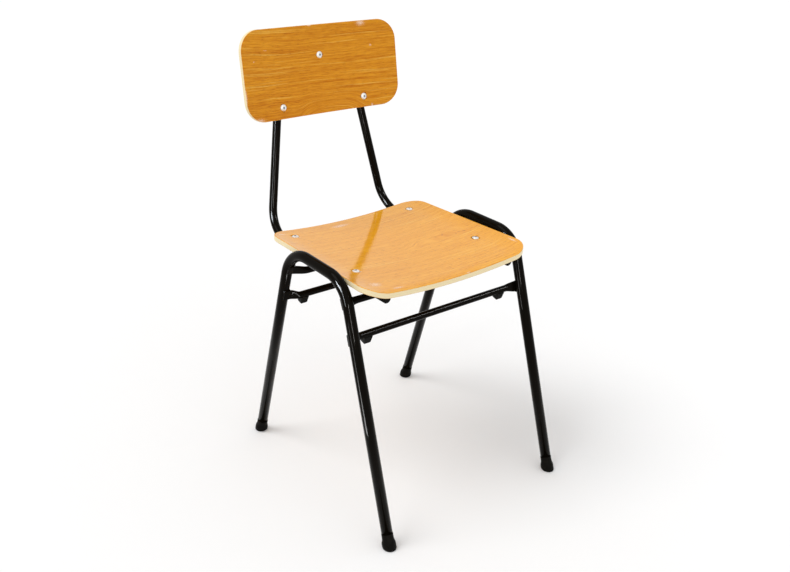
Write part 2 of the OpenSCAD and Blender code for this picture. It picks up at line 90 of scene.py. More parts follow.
class Side(Enum):
    """The two sides of the chair, with the sign of X on each."""

    LEFT = -1
    RIGHT = 1

    @property
    def word(self) -> str:
        """The side's word in the names of pieces."""
        return self.name.lower()


class End(Enum):
    """The front or the rear of the chair."""

    FRONT = "front"
    REAR = "rear"

    @property
    def behind(self) -> bool:
        """Whether this is the rear end."""
        return self is End.REAR


# Node trees


class Sock:
    """An output socket of a node tree, on which plain arithmetic adds Math nodes."""

    def __init__(self, graph: "Graph", socket: bpy.types.NodeSocket) -> None:
        """Wraps socket, which belongs to a node of graph."""
        self.graph = graph
        self.socket = socket

    def _math(self, operation: str, *values: Number, clamp: bool = False) -> "Sock":
        """Adds one Math node over values and returns its result."""
        node = self.graph.node(
            "ShaderNodeMath", {"operation": operation, "use_clamp": clamp}, dict(enumerate(values))
        )
        return Sock(self.graph, node.outputs[0])

    def __add__(self, other: Number) -> "Sock":
        """The sum with other."""
        return self._math("ADD", self, other)

    def __sub__(self, other: Number) -> "Sock":
        """What is left without other."""
        return self._math("SUBTRACT", self, other)

    def __rsub__(self, other: Number) -> "Sock":
        """What is left of the number other."""
        return self._math("SUBTRACT", other, self)

    def __mul__(self, other: Number) -> "Sock":
        """The product with other."""
        return self._math("MULTIPLY", self, other)

    def __truediv__(self, other: Number) -> "Sock":
        """The quotient by other."""
        return self._math("DIVIDE", self, other)

    def root(self) -> "Sock":
        """The square root."""
        return self._math("SQRT", self)

    def fraction(self) -> "Sock":
        """The part after the decimal point."""
        return self._math("FRACT", self)

    def size(self) -> "Sock":
        """The value without its sign."""
        return self._math("ABSOLUTE", self)

    def sine(self) -> "Sock":
        """The sine of the value in radians."""
        return self._math("SINE", self)

    def at_least(self, other: Number) -> "Sock":
        """The larger of this and other."""
        return self._math("MAXIMUM", self, other)

    def ease(self, low: Number, high: Number, start: float = 0.0, stop: float = 1.0) -> "Sock":
        """Runs smoothly from start to stop as the value goes from low to high."""
        node = self.graph.node(
            "ShaderNodeMapRange",
            {"interpolation_type": "SMOOTHSTEP", "clamp": True},
            {"Value": self, "From Min": low, "From Max": high, "To Min": start, "To Max": stop},
        )
        return Sock(self.graph, node.outputs["Result"])


class Graph:
    """The nodes of one shader, world or geometry tree."""

    def __init__(self, tree: bpy.types.NodeTree) -> None:
        """Empties tree and keeps it."""
        self.tree = tree
        tree.nodes.clear()

    def node(self, kind: str, settings: Settings = None, sockets: Sockets = None) -> bpy.types.Node:
        """Adds a node.

        Args:
            kind: The node's type.
            settings: The node's own options, which are set first.
            sockets: Values or links of its inputs, by name or number.

        Returns:
            The new node.
        """
        made = self.tree.nodes.new(kind)
        for name, value in (settings or {}).items():
            setattr(made, name, value)
        for key, value in (sockets or {}).items():
            if isinstance(value, Sock):
                self.tree.links.new(value.socket, made.inputs[key])
            else:
                made.inputs[key].default_value = value
        return made

    def value(
        self, kind: str, output: Union[int, str], settings: Settings = None, sockets: Sockets = None
    ) -> Sock:
        """Adds a node as node() does and returns one of its outputs."""
        return Sock(self, self.node(kind, settings, sockets).outputs[output])

    def mix(self, share: Number, first: object, second: object) -> Sock:
        """Blends two colours by share."""
        # Inputs 6 and 7 and output 2 are the ones for colours.
        return self.value(
            "ShaderNodeMix", 2, {"data_type": "RGBA"}, {0: share, 6: _rgba(first), 7: _rgba(second)}
        )

    def split(self, vector: Sock) -> tuple[Sock, Sock, Sock]:
        """The three parts of a vector."""
        node = self.node("ShaderNodeSeparateXYZ", sockets={0: vector})
        return tuple(Sock(self, out) for out in node.outputs)

    def join(self, x: Number, y: Number, z: Number = 0.0) -> Sock:
        """A vector of three parts."""
        return self.value("ShaderNodeCombineXYZ", 0, sockets={0: x, 1: y, 2: z})

    def noise(
        self, vector: Sock, scale: float = 1.0, detail: float = 2.0, rough: float = 0.5, seed: float = 0.0
    ) -> Sock:
        """Soft noise from 0 to 1 over vector, in cells of 1 / scale metres."""
        return self.value(
            "ShaderNodeTexNoise", 0, {"noise_dimensions": "4D"},
            {"Vector": vector, "W": seed, "Scale": scale, "Detail": detail, "Roughness": rough},
        )

    def stretch(self, vector: Sock, factors: Point) -> Sock:
        """The vector with each part times its factor."""
        settings = {"operation": "MULTIPLY"}
        return self.value("ShaderNodeVectorMath", 0, settings, {0: vector, 1: tuple(factors)})

    def bump(self, height: Sock, depth: float, under: Optional[Sock] = None) -> Sock:
        """A normal raised by height times depth metres, over the normal under."""
        sockets = {"Height": height, "Distance": depth, "Strength": 1.0}
        if under is not None:
            sockets["Normal"] = under
        return self.value("ShaderNodeBump", 0, None, sockets)


def _rgba(colour: object) -> object:
    """A colour of three numbers with full alpha, or a socket as it is."""
    return colour if isinstance(colour, Sock) else (*colour, 1.0)


def new_material(name: str) -> tuple[bpy.types.Material, Graph]:
    """An empty material that uses nodes, with its graph."""
    material = bpy.data.materials.new(name)
    material.use_nodes = True
    return material, Graph(material.node_tree)


def close_shader(graph: Graph, sockets: Mapping[str, object]) -> None:
    """Ends a material in one Principled BSDF with these sockets."""
    shader = graph.value("ShaderNodeBsdfPrincipled", 0, sockets=sockets)
    graph.node("ShaderNodeOutputMaterial", sockets={"Surface": shader})


# Finishes


@dataclass(frozen=True)
class Paint:
    """Glossy black paint, baked on steel tube, with a little orange peel, dulling and dust."""

    base: Colour = (0.0040, 0.0030, 0.0018)
    dust: Colour = (0.026, 0.019, 0.012)
    dust_share: float = 0.10
    dust_least: float = 0.3
    roughness: Span = (0.06, 0.13)
    gloss: float = 0.032
    cloud_scale: float = 22.0
    cloud_span: Span = (0.38, 0.72)
    speck_scale: float = 900.0
    speck_span: Span = (0.40, 0.70)
    rub_scale: float = 260.0
    rub_stretch: Point = (1.0, 1.0, 0.12)
    rub_span: Span = (0.5, 0.8)
    rub_share: float = 0.4
    peel_scale: float = 300.0
    peel_depth: float = 0.000005

    def build(self) -> bpy.types.Material:
        """Makes the material."""
        material, graph = new_material("glossy_black_paint")
        place = graph.value("ShaderNodeTexCoord", "Object")
        cloud = graph.noise(place, self.cloud_scale, detail=4.0, rough=0.6, seed=1.0)
        speck = graph.noise(place, self.speck_scale, detail=2.0, rough=0.5, seed=2.0)
        along = graph.stretch(place, self.rub_stretch)
        rub = graph.noise(along, self.rub_scale, detail=3.0, rough=0.6, seed=3.0)
        dull = cloud.ease(*self.cloud_span)
        spread = dull * (1.0 - self.dust_least) + self.dust_least
        dusty = spread * speck.ease(*self.speck_span) * self.dust_share
        worn = dull * (1.0 - self.rub_share) + rub.ease(*self.rub_span) * self.rub_share
        low, high = self.roughness
        peel = graph.noise(place, self.peel_scale, detail=2.0, rough=0.4, seed=4.0)
        close_shader(graph, {
            "Base Color": graph.mix(dusty, self.base, self.dust),
            "Roughness": worn * (high - low) + low,
            "Specular IOR Level": self.gloss,
            "Normal": graph.bump(peel, self.peel_depth),
        })
        return material


@dataclass(frozen=True)
class Plastic:
    """Satin black moulded plastic with a fine grain and rubbed, dusty patches."""

    base: Colour = (0.0044, 0.0037, 0.0028)
    rubbed: Colour = (0.017, 0.0145, 0.011)
    rubbed_share: float = 0.5
    roughness: Span = (0.40, 0.62)
    gloss: float = 0.05
    patch_scale: float = 130.0
    patch_span: Span = (0.5, 0.78)
    grain_scale: float = 1400.0
    grain_depth: float = 0.00003

    def build(self) -> bpy.types.Material:
        """Makes the material."""
        material, graph = new_material("satin_black_plastic")
        place = graph.value("ShaderNodeTexCoord", "Object")
        cloud = graph.noise(place, self.patch_scale, detail=4.0, rough=0.6, seed=5.0)
        patch = cloud.ease(*self.patch_span)
        grain = graph.noise(place, self.grain_scale, detail=2.0, rough=0.5, seed=6.0)
        low, high = self.roughness
        close_shader(graph, {
            "Base Color": graph.mix(patch * self.rubbed_share, self.base, self.rubbed),
            "Roughness": patch * (high - low) + low,
            "Specular IOR Level": self.gloss,
            "Normal": graph.bump(grain, self.grain_depth),
        })
        return material


@dataclass(frozen=True)
class Zinc:
    """Bright zinc plate on small fasteners, with a soft grain, darker clouds and painted shade in the key
    sockets.
    """

    bright: Colour = (0.84, 0.82, 0.78)
    dark: Colour = (0.56, 0.56, 0.56)
    dark_share: float = 0.45
    # Painted shade: the dark colour, and how much of it, that is painted into the key sockets in place of the
    # shade inside them.
    grime: Colour = (0.24, 0.27, 0.33)
    grime_share: float = 0.9
    roughness: Span = (0.34, 0.50)
    cloud_scale: float = 520.0
    cloud_span: Span = (0.42, 0.72)
    grain_scale: float = 3200.0
    grain_depth: float = 0.000012

    def build(self) -> bpy.types.Material:
        """Makes the material."""
        material, graph = new_material("bright_zinc_plate")
        place = graph.value("ShaderNodeTexCoord", "Object")
        noise = graph.noise(place, self.cloud_scale, detail=4.0, rough=0.6, seed=7.0)
        cloud = noise.ease(*self.cloud_span)
        grain = graph.noise(place, self.grain_scale, detail=2.0, rough=0.5, seed=8.0)
        low, high = self.roughness
        in_key = graph.value("ShaderNodeAttribute", "Fac", {"attribute_name": "in_key"})
        plate = graph.mix(cloud * self.dark_share, self.bright, self.dark)
        close_shader(graph, {
            # The key sockets are mixed towards the dark colour, which is painted shade inside the recess.
            "Base Color": graph.mix(in_key * self.grime_share, plate, self.grime),
            "Metallic": 1.0,
            "Roughness": cloud * (high - low) + low,
            "Normal": graph.bump(grain, self.grain_depth),
        })
        return material


@dataclass(frozen=True)
class Scuff:
    """A worn place on a panel, in the panel's own sheet coordinates."""

    u: float
    v: float
    half_u: float
    half_v: float
    strength: float = 1.0


@dataclass(frozen=True)
class Arch:
    """A place where the growth rings of a veneer rise, in the panel's own sheet coordinates."""

    u: float
    v: float
    half_u: float
    half_v: float
    rise: float


@dataclass(frozen=True)
class Streak:
    """One kind of streak along the grain of a veneer.

    Attributes:
        pitch: How wide a streak is.
        length: How long it is.
        span: The values of its noise between which it comes up.
        seed: What is added to the veneer's seed.
        share: How much it colours the face.
        depth: How deep it is, where 1 is deepest.
    """

    pitch: float
    length: float
    span: Span
    seed: float
    share: float
    depth: float = 0.0


@dataclass(frozen=True)
class Ply:
    """Varnished plywood: a honey coloured face veneer, pale plies on the edge, and worn places."""

    name: str
    seed: float
    arch: Arch
    light: Colour
    dark: Colour
    pale: Colour
    contrast: float
    gloss: float
    scuffs: tuple[Scuff, ...]
    haze: float = 1.0
    pore: Colour = (0.36, 0.095, 0.001)
    bare: Colour = (0.93, 0.66, 0.47)
    roughness: float = 0.06
    bare_roughness: float = 0.42
    bare_depth: float = 0.00010
    grain_slope: float = 0.02
    grain_depth: float = 0.000010
    sway_scale: Point = (3.5, 11.0, 1.0)
    sway_rise: float = 0.020
    wave_scale: Point = (16.0, 30.0, 1.0)
    wave_rise: float = 0.0022
    arch_waver: float = 0.02
    bands: Streak = Streak(0.0110, 0.45, (0.34, 0.68), 2.0, share=0.24)
    rings: Streak = Streak(0.0026, 0.16, (0.40, 0.66), 3.0, share=0.36, depth=0.35)
    fibres: Streak = Streak(0.0014, 0.026, (0.42, 0.62), 4.0, share=0.40, depth=0.4)
    shines: Streak = Streak(0.0034, 0.26, (0.58, 0.68), 5.0, share=0.7)
    pores: Streak = Streak(0.0011, 0.010, (0.56, 0.66), 6.0, share=0.85, depth=0.8)
    shine_break: float = 0.4
    pore_in_ring: float = 0.5
    pore_elsewhere: float = 0.3
    fray_scale: float = 520.0
    fray_squash: float = 1.6
    fray_share: float = 2.6
    wear_share: float = 0.9
    wear_span: Span = (0.40, 0.85)
    plies: tuple[Colour, Colour] = ((0.99, 0.87, 0.57), (0.94, 0.75, 0.42))
    plies_count: float = 7.0
    ply_soft: float = 0.05
    ply_share: float = 0.55
    fuzz_scale: float = 700.0
    fuzz_depth: float = 0.01
    fuzz_share: float = 0.3
    glue: Colour = (0.52, 0.31, 0.11)
    glue_start: Span = (0.80, 0.92)
    glue_stop: Span = (0.96, 1.0)
    glue_share: float = 0.40
    veneer: float = 0.085
    veneer_soft: float = 0.012
    chip_scale: float = 190.0
    chip_reach: float = 0.16
    flow_scale: float = 260.0
    flow_stretch: float = 0.45
    flow_depth: float = 0.000055
    ior: float = 1.5

    def _ring_place(self, graph: Graph, u: Sock, v: Sock) -> Sock:
        """The place across the growth rings, which wander up and down the sheet and rise in one arch."""
        flat = graph.join(u, v)
        sway = graph.noise(graph.stretch(flat, self.sway_scale), detail=2.0, seed=self.seed) - 0.5
        wave = graph.noise(graph.stretch(flat, self.wave_scale), detail=1.0, seed=self.seed + 1.0) - 0.5
        along = (u - self.arch.u + wave * self.arch_waver) / self.arch.half_u
        over = (v - self.arch.v) / self.arch.half_v
        lift = (along * along).ease(0.0, 1.0, 1.0, 0.0) * over.size().ease(0.0, 1.0, 1.0, 0.0)
        wander = v + u * self.grain_slope + sway * self.sway_rise + wave * self.wave_rise
        return wander - lift * self.arch.rise

    def _streaks(self, graph: Graph, u: Sock, across: Sock, kind: Streak) -> Sock:
        """One kind of streak along the grain, from 0 to 1."""
        spot = graph.join(u / kind.length, across / kind.pitch)
        return graph.noise(spot, detail=2.0, rough=0.55, seed=self.seed + kind.seed).ease(*kind.span)

    def _face(self, graph: Graph, u: Sock, v: Sock) -> tuple[Sock, Sock]:
        """The face veneer.

        Args:
            graph: The graph of the material.
            u: The place along the sheet's width.
            v: The place along its depth.

        Returns:
            Its colour, and how deep its grain is, from 0 to 1.
        """
        across = self._ring_place(graph, u, v)
        band = self._streaks(graph, u, across, self.bands)
        ring = self._streaks(graph, u, across, self.rings)
        fibre = self._streaks(graph, u, across, self.fibres)
        shine = self._streaks(graph, u, across, self.shines)
        pore = self._streaks(graph, u, across, self.pores)
        mixed = band * self.bands.share + ring * self.rings.share + fibre * self.fibres.share
        colour = graph.mix((mixed - 0.5) * self.contrast + 0.5, self.light, self.dark)
        glint = shine * (1.0 - fibre * self.shine_break) * self.shines.share
        colour = graph.mix(glint * self.contrast, colour, self.pale)
        dots = pore * (ring * self.pore_in_ring + self.pore_elsewhere) * self.pores.share
        colour = graph.mix(dots * self.contrast, colour, self.pore)
        return colour, ring * self.rings.depth + fibre * self.fibres.depth + pore * self.pores.depth

    def _wear(self, graph: Graph, u: Sock, v: Sock) -> Sock:
        """Where the varnish and veneer are worn away, from 0 to 1."""
        squashed = graph.join(u, v * self.fray_squash)
        fray = graph.noise(squashed, self.fray_scale, detail=5.0, rough=0.75, seed=self.seed + 7.0) - 0.5
        worn: Optional[Sock] = None
        for scuff in self.scuffs:
            along = (u - scuff.u) / scuff.half_u
            over = (v - scuff.v) / scuff.half_v
            near = (1.0 - (along * along + over * over).root()) * scuff.strength
            worn = near if worn is None else worn.at_least(near)
        frayed = worn.at_least(-1.0) * self.wear_share + fray * self.fray_share
        return frayed.ease(*self.wear_span) * self.haze

    def _edge(self, graph: Graph, u: Sock, v: Sock, depth: Sock) -> Sock:
        """The cut plies on the panel's edge, with thin glue lines."""
        layer = (depth * self.plies_count).fraction()
        line = layer.ease(*self.glue_start) * (1.0 - layer.ease(*self.glue_stop))
        turn = ((depth * self.plies_count * 0.5).fraction() - 0.5).ease(-self.ply_soft, self.ply_soft)
        spot = graph.join(u, v, depth * self.fuzz_depth)
        fuzz = graph.noise(spot, self.fuzz_scale, detail=3.0, rough=0.7, seed=self.seed + 8.0)
        first, second = self.plies
        edge = graph.mix(turn * self.ply_share + fuzz * self.fuzz_share, first, second)
        return graph.mix(line * self.glue_share, edge, self.glue)

    def _inside(self, graph: Graph, u: Sock, v: Sock, depth: Sock) -> Sock:
        """Where the plies between the two face veneers show, from 0 to 1."""
        noise = graph.noise(graph.join(u, v), self.chip_scale, detail=4.0, rough=0.75, seed=self.seed + 9.0)
        chip = (noise - 0.5) * self.chip_reach
        top = (depth + chip).ease(self.veneer - self.veneer_soft, self.veneer + self.veneer_soft)
        last = 1.0 - self.veneer
        return top * (1.0 - (depth - chip).ease(last - self.veneer_soft, last + self.veneer_soft))

    def build(self) -> bpy.types.Material:
        """Makes the material."""
        material, graph = new_material(self.name)
        sheet = graph.value("ShaderNodeUVMap", 0, {"uv_map": "sheet"})
        u, v, _ = graph.split(sheet)
        depth = graph.value("ShaderNodeAttribute", "Fac", {"attribute_name": "ply_depth"})
        face, grain = self._face(graph, u, v)
        worn = self._wear(graph, u, v)
        inside = self._inside(graph, u, v, depth)
        bare = inside.at_least(worn)
        spot = graph.join(u * self.flow_stretch, v)
        flow = graph.noise(spot, self.flow_scale, detail=2.0, rough=0.5, seed=self.seed + 10.0)
        varnish = graph.bump(flow, self.flow_depth, graph.bump(1.0 - bare, self.bare_depth))
        colour = graph.mix(inside, graph.mix(worn, face, self.bare), self._edge(graph, u, v, depth))
        close_shader(graph, {
            "Base Color": colour,
            "Roughness": bare * self.bare_roughness + self.roughness,
            "IOR": self.ior,
            "Specular IOR Level": self.gloss,
            "Normal": graph.bump(1.0 - grain, self.grain_depth, varnish),
        })
        return material


# Mesh helpers


def turn_about(axis: str, degrees: float) -> Matrix:
    """A turn about X, Y or Z."""
    return Matrix.Rotation(math.radians(degrees), 4, axis)


def move(x: float, y: float, z: float) -> Matrix:
    """A move."""
    return Matrix.Translation((x, y, z))


def soft_step(t: float) -> float:
    """Runs smoothly from 0 to 1 as t does."""
    return t * t * (3 - 2 * t)


def mesh_from(name: str, points: Iterable[Point], faces: Iterable[Sequence[int]]) -> bpy.types.Mesh:
    """A smooth shaded mesh whose faces point outwards and whose hard corners are creased."""
    mesh = bpy.data.meshes.new(name)
    mesh.from_pydata([tuple(p) for p in points], [], [tuple(f) for f in faces])
    work = bmesh.new()
    work.from_mesh(mesh)
    bmesh.ops.recalc_face_normals(work, faces=work.faces)
    work.to_mesh(mesh)
    work.free()
    finish_mesh(mesh)
    return mesh


def finish_mesh(mesh: bpy.types.Mesh) -> None:
    """Shades a mesh smooth, with creases at its hard corners."""
    mesh.shade_smooth()
    mesh.set_sharp_from_angle(angle=CREASE)


def loft(name: str, rings: Sequence[Sequence[Point]], ring_closed: bool = False) -> bpy.types.Mesh:
    """A skin over rings of equal length.

    Args:
        name: The mesh's name.
        rings: The rings, each closed on itself. A ring of one point is a pole.
        ring_closed: Whether the last ring runs on into the first one.

    Returns:
        The mesh. Where the rings aren't closed, an end ring of more than one point gets a flat cap.
    """
    points, starts = [], []
    for ring in rings:
        starts.append((len(points), len(ring)))
        points.extend(ring)
    faces = []
    pairs = list(zip(starts, starts[1:]))
    if ring_closed:
        pairs.append((starts[-1], starts[0]))
    for (a, na), (b, nb) in pairs:
        count = max(na, nb)
        for i in range(count):
            j = (i + 1) % count
            if na == 1:
                faces.append((a, b + i, b + j))
            elif nb == 1:
                faces.append((a + i, a + j, b))
            else:
                faces.append((a + i, a + j, b + j, b + i))
    if not ring_closed:
        for start, count in (starts[0], starts[-1]):
            if count > 1:
                faces.append(tuple(range(start, start + count)))
    return mesh_from(name, points, faces)


def ring_at(radius: Union[float, Callable[[float], float]], z: float, count: int) -> list[Point]:
    """A ring about Z, of one radius or of a radius for each angle, or a pole."""
    if not callable(radius) and radius == 0.0:
        return [(0.0, 0.0, z)]
    size = radius if callable(radius) else (lambda _: radius)
    angles = [TURN * i / count for i in range(count)]
    return [(size(a) * math.cos(a), size(a) * math.sin(a), z) for a in angles]


def hexagon(across: float, largest: float = math.inf) -> Callable[[float], float]:
    """The radius of a hexagon at each angle, cut back to a largest radius."""
    sector = math.radians(60.0)
    return lambda a: min(across / 2 / math.cos((a + sector / 2) % sector - sector / 2), largest)


def spun(name: str, profile: Sequence[tuple], count: int = 64, ring_closed: bool = False) -> bpy.types.Mesh:
    """A body turned about Z from (radius, height) pairs."""
    return loft(name, [ring_at(r, z, count) for r, z in profile], ring_closed)


def placed(mesh: bpy.types.Mesh, matrix: Matrix) -> bpy.types.Mesh:
    """The mesh put in its place, with its faces still pointing outwards."""
    mesh.transform(matrix)
    if matrix.determinant() < 0:
        mesh.flip_normals()
    return mesh


def on_side(side: Side) -> Matrix:
    """The mirror image for the left side, or no change for the right side."""
    return Matrix.Diagonal((side.value, 1.0, 1.0, 1.0))


def add_piece(name: str, mesh: bpy.types.Mesh, material: bpy.types.Material) -> bpy.types.Object:
    """Links a new object for mesh, with one material."""
    piece = bpy.data.objects.new(name, mesh)
    mesh.name = name
    mesh.materials.clear()
    mesh.materials.append(material)
    bpy.context.scene.collection.objects.link(piece)
    return piece


def hand_over(piece: bpy.types.Object, slot: Slot, *nodes: str) -> None:
    """Puts a finished piece on the chair's body, in place of the CAD nodes it stands for."""
    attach(piece, BODY)
    if nodes:
        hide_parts(*nodes)
    LOG.info("%s: %d faces, in place of %s", piece.name, len(piece.data.polygons), nodes or "nothing")


# Geometry trees


class Recipe:
    """A geometry tree with named inputs, which grows a mesh from a base object."""

    def __init__(self, name: str, inputs: Mapping[str, str]) -> None:
        """Starts a tree with a Geometry input and the named inputs, each with its socket type."""
        self.tree = bpy.data.node_groups.new(name, "GeometryNodeTree")
        for label, kind in {"Geometry": "NodeSocketGeometry", **inputs}.items():
            self.tree.interface.new_socket(label, in_out="INPUT", socket_type=kind)
        self.tree.interface.new_socket("Geometry", in_out="OUTPUT", socket_type="NodeSocketGeometry")
        self.graph = Graph(self.tree)
        self._given = self.graph.node("NodeGroupInput")

    def given(self, label: str) -> Sock:
        """One of the tree's inputs."""
        return Sock(self.graph, self._given.outputs[label])

    def attribute(self, label: str, kind: str) -> Sock:
        """A named attribute of the geometry."""
        return self.graph.value("GeometryNodeInputNamedAttribute", 0, {"data_type": kind}, {"Name": label})

    def end(self, geometry: Sock) -> None:
        """Realizes the instances, sets the material and ends the tree."""
        real = self.graph.value("GeometryNodeRealizeInstances", 0, None, {"Geometry": geometry})
        smooth = self.graph.value("GeometryNodeSetShadeSmooth", 0, None, {"Geometry": real})
        dressed = self.graph.value(
            "GeometryNodeSetMaterial", 0, None, {"Geometry": smooth, "Material": self.given("Material")}
        )
        self.graph.node("NodeGroupOutput", sockets={0: dressed})

    def grow(self, name: str, base: bpy.types.Mesh, values: Mapping[str, object]) -> bpy.types.Object:
        """Runs the tree on base.

        Args:
            name: The new object's name.
            base: The mesh that the tree starts from.
            values: A value for each named input.

        Returns:
            An object with the result as a plain mesh, without the modifier.
        """
        piece = bpy.data.objects.new(name, base)
        bpy.context.scene.collection.objects.link(piece)
        modifier = piece.modifiers.new(self.tree.name, "NODES")
        modifier.node_group = self.tree
        for item in self.tree.interface.items_tree:
            if item.in_out == "INPUT" and item.name in values:
                modifier[item.identifier] = values[item.name]
        piece.update_tag()
        seen = piece.evaluated_get(bpy.context.evaluated_depsgraph_get())
        mesh = bpy.data.meshes.new_from_object(seen)
        piece.modifiers.clear()
        piece.data = mesh
        mesh.name = name
        return piece


def bent_tube_recipe() -> Recipe:
    """A tube along a line of corners, each bent to its own radius."""
    recipe = Recipe("bent_tube", {
        "Outer Radius": "NodeSocketFloat", "Around": "NodeSocketInt", "Bend Steps": "NodeSocketInt",
        "Material": "NodeSocketMaterial",
    })
    graph = recipe.graph
    line = graph.value("GeometryNodeMeshToCurve", 0, None, {"Mesh": recipe.given("Geometry")})
    radius = recipe.attribute("bend_radius", "FLOAT")
    bent = graph.value(
        "GeometryNodeFilletCurve", 0, {"mode": "POLY"},
        {"Curve": line, "Count": recipe.given("Bend Steps"), "Radius": radius},
    )
    ring = graph.value(
        "GeometryNodeCurvePrimitiveCircle", 0, None,
        {"Resolution": recipe.given("Around"), "Radius": recipe.given("Outer Radius")},
    )
    recipe.end(graph.value("GeometryNodeCurveToMesh", 0, None, {"Curve": bent, "Profile Curve": ring}))
    return recipe


def weld_bead_recipe(lump_scale: float = 260.0, ripple_step: float = 0.25, around: int = 12) -> Recipe:
    """A rippled bead of weld along each line of the base.

    Args:
        lump_scale: The scale of the bead's uneven lumps.
        ripple_step: The distance between points along the bead, in ripples.
        around: How many points there are around the bead.
    """
    recipe = Recipe("weld_bead", {
        "Bead Radius": "NodeSocketFloat", "Ripple Pitch": "NodeSocketFloat",
        "Ripple Height": "NodeSocketFloat", "Seed": "NodeSocketFloat", "Material": "NodeSocketMaterial",
    })
    graph = recipe.graph
    line = graph.value("GeometryNodeMeshToCurve", 0, None, {"Mesh": recipe.given("Geometry")})
    fine = graph.value(
        "GeometryNodeResampleCurve", 0, {"mode": "LENGTH"},
        {"Curve": line, "Length": recipe.given("Ripple Pitch") * ripple_step},
    )
    place = graph.value("GeometryNodeInputPosition", 0)
    lumps = graph.value(
        "ShaderNodeTexNoise", 0, {"noise_dimensions": "4D"},
        {"Vector": place, "W": recipe.given("Seed"), "Scale": lump_scale, "Detail": 2.0},
    )
    along = graph.value("GeometryNodeSplineParameter", "Length")
    ripple = (along / recipe.given("Ripple Pitch") * TURN).sine() * 0.5 + lumps
    size = recipe.given("Bead Radius") + (ripple - 0.5) * recipe.given("Ripple Height")
    ring = graph.value("GeometryNodeCurvePrimitiveCircle", 0, None, {"Resolution": around, "Radius": MM})
    sockets = {"Curve": fine, "Profile Curve": ring, "Scale": size * (1.0 / MM), "Fill Caps": True}
    recipe.end(graph.value("GeometryNodeCurveToMesh", 0, None, sockets))
    return recipe


def fastener_recipe() -> Recipe:
    """A head and a shank at each point, along the point's own axis, the head at its own reach."""
    recipe = Recipe("fastener_set", {
        "Head": "NodeSocketObject", "Shank": "NodeSocketObject", "Material": "NodeSocketMaterial",
    })
    graph = recipe.graph
    axis = recipe.attribute("axis", "FLOAT_VECTOR")
    reach = recipe.attribute("reach", "FLOAT")
    aim = graph.value("FunctionNodeAlignRotationToVector", 0, {"axis": "Z"}, {"Vector": axis})
    points = graph.value("GeometryNodeMeshToPoints", 0, None, {"Mesh": recipe.given("Geometry")})
    offset = graph.value("ShaderNodeVectorMath", 0, {"operation": "SCALE"}, {0: axis, "Scale": reach})
    raised = graph.value("GeometryNodeSetPosition", 0, None, {"Geometry": points, "Offset": offset})
    sets = []
    for label, spots in (("Head", raised), ("Shank", points)):
        shape = graph.value("GeometryNodeObjectInfo", "Geometry", None, {"Object": recipe.given(label)})
        sets.append(graph.value(
            "GeometryNodeInstanceOnPoints", 0, None, {"Points": spots, "Instance": shape, "Rotation": aim}
        ))
    both = graph.node("GeometryNodeJoinGeometry")
    for made in sets:
        graph.tree.links.new(made.socket, both.inputs[0])
    recipe.end(Sock(graph, both.outputs[0]))
    return recipe


def line_mesh(name: str, lines: Sequence[Sequence[Point]]) -> bpy.types.Mesh:
    """A mesh of separate lines through points, without faces."""
    points, edges = [], []
    for line in lines:
        edges.extend((len(points) + i, len(points) + i + 1) for i in range(len(line) - 1))
        points.extend(tuple(p) for p in line)
    mesh = bpy.data.meshes.new(name)
    mesh.from_pydata(points, edges, [])
    return mesh


def set_attribute(mesh: bpy.types.Mesh, name: str, kind: str, values: Sequence) -> None:
    """Gives each point of a mesh its value of a named attribute."""
    attribute = mesh.attributes.new(name, kind, "POINT")
    key = "vector" if kind == "FLOAT_VECTOR" else "value"
    attribute.data.foreach_set(key, np.asarray(values, np.float32).ravel())


# The chair's plan


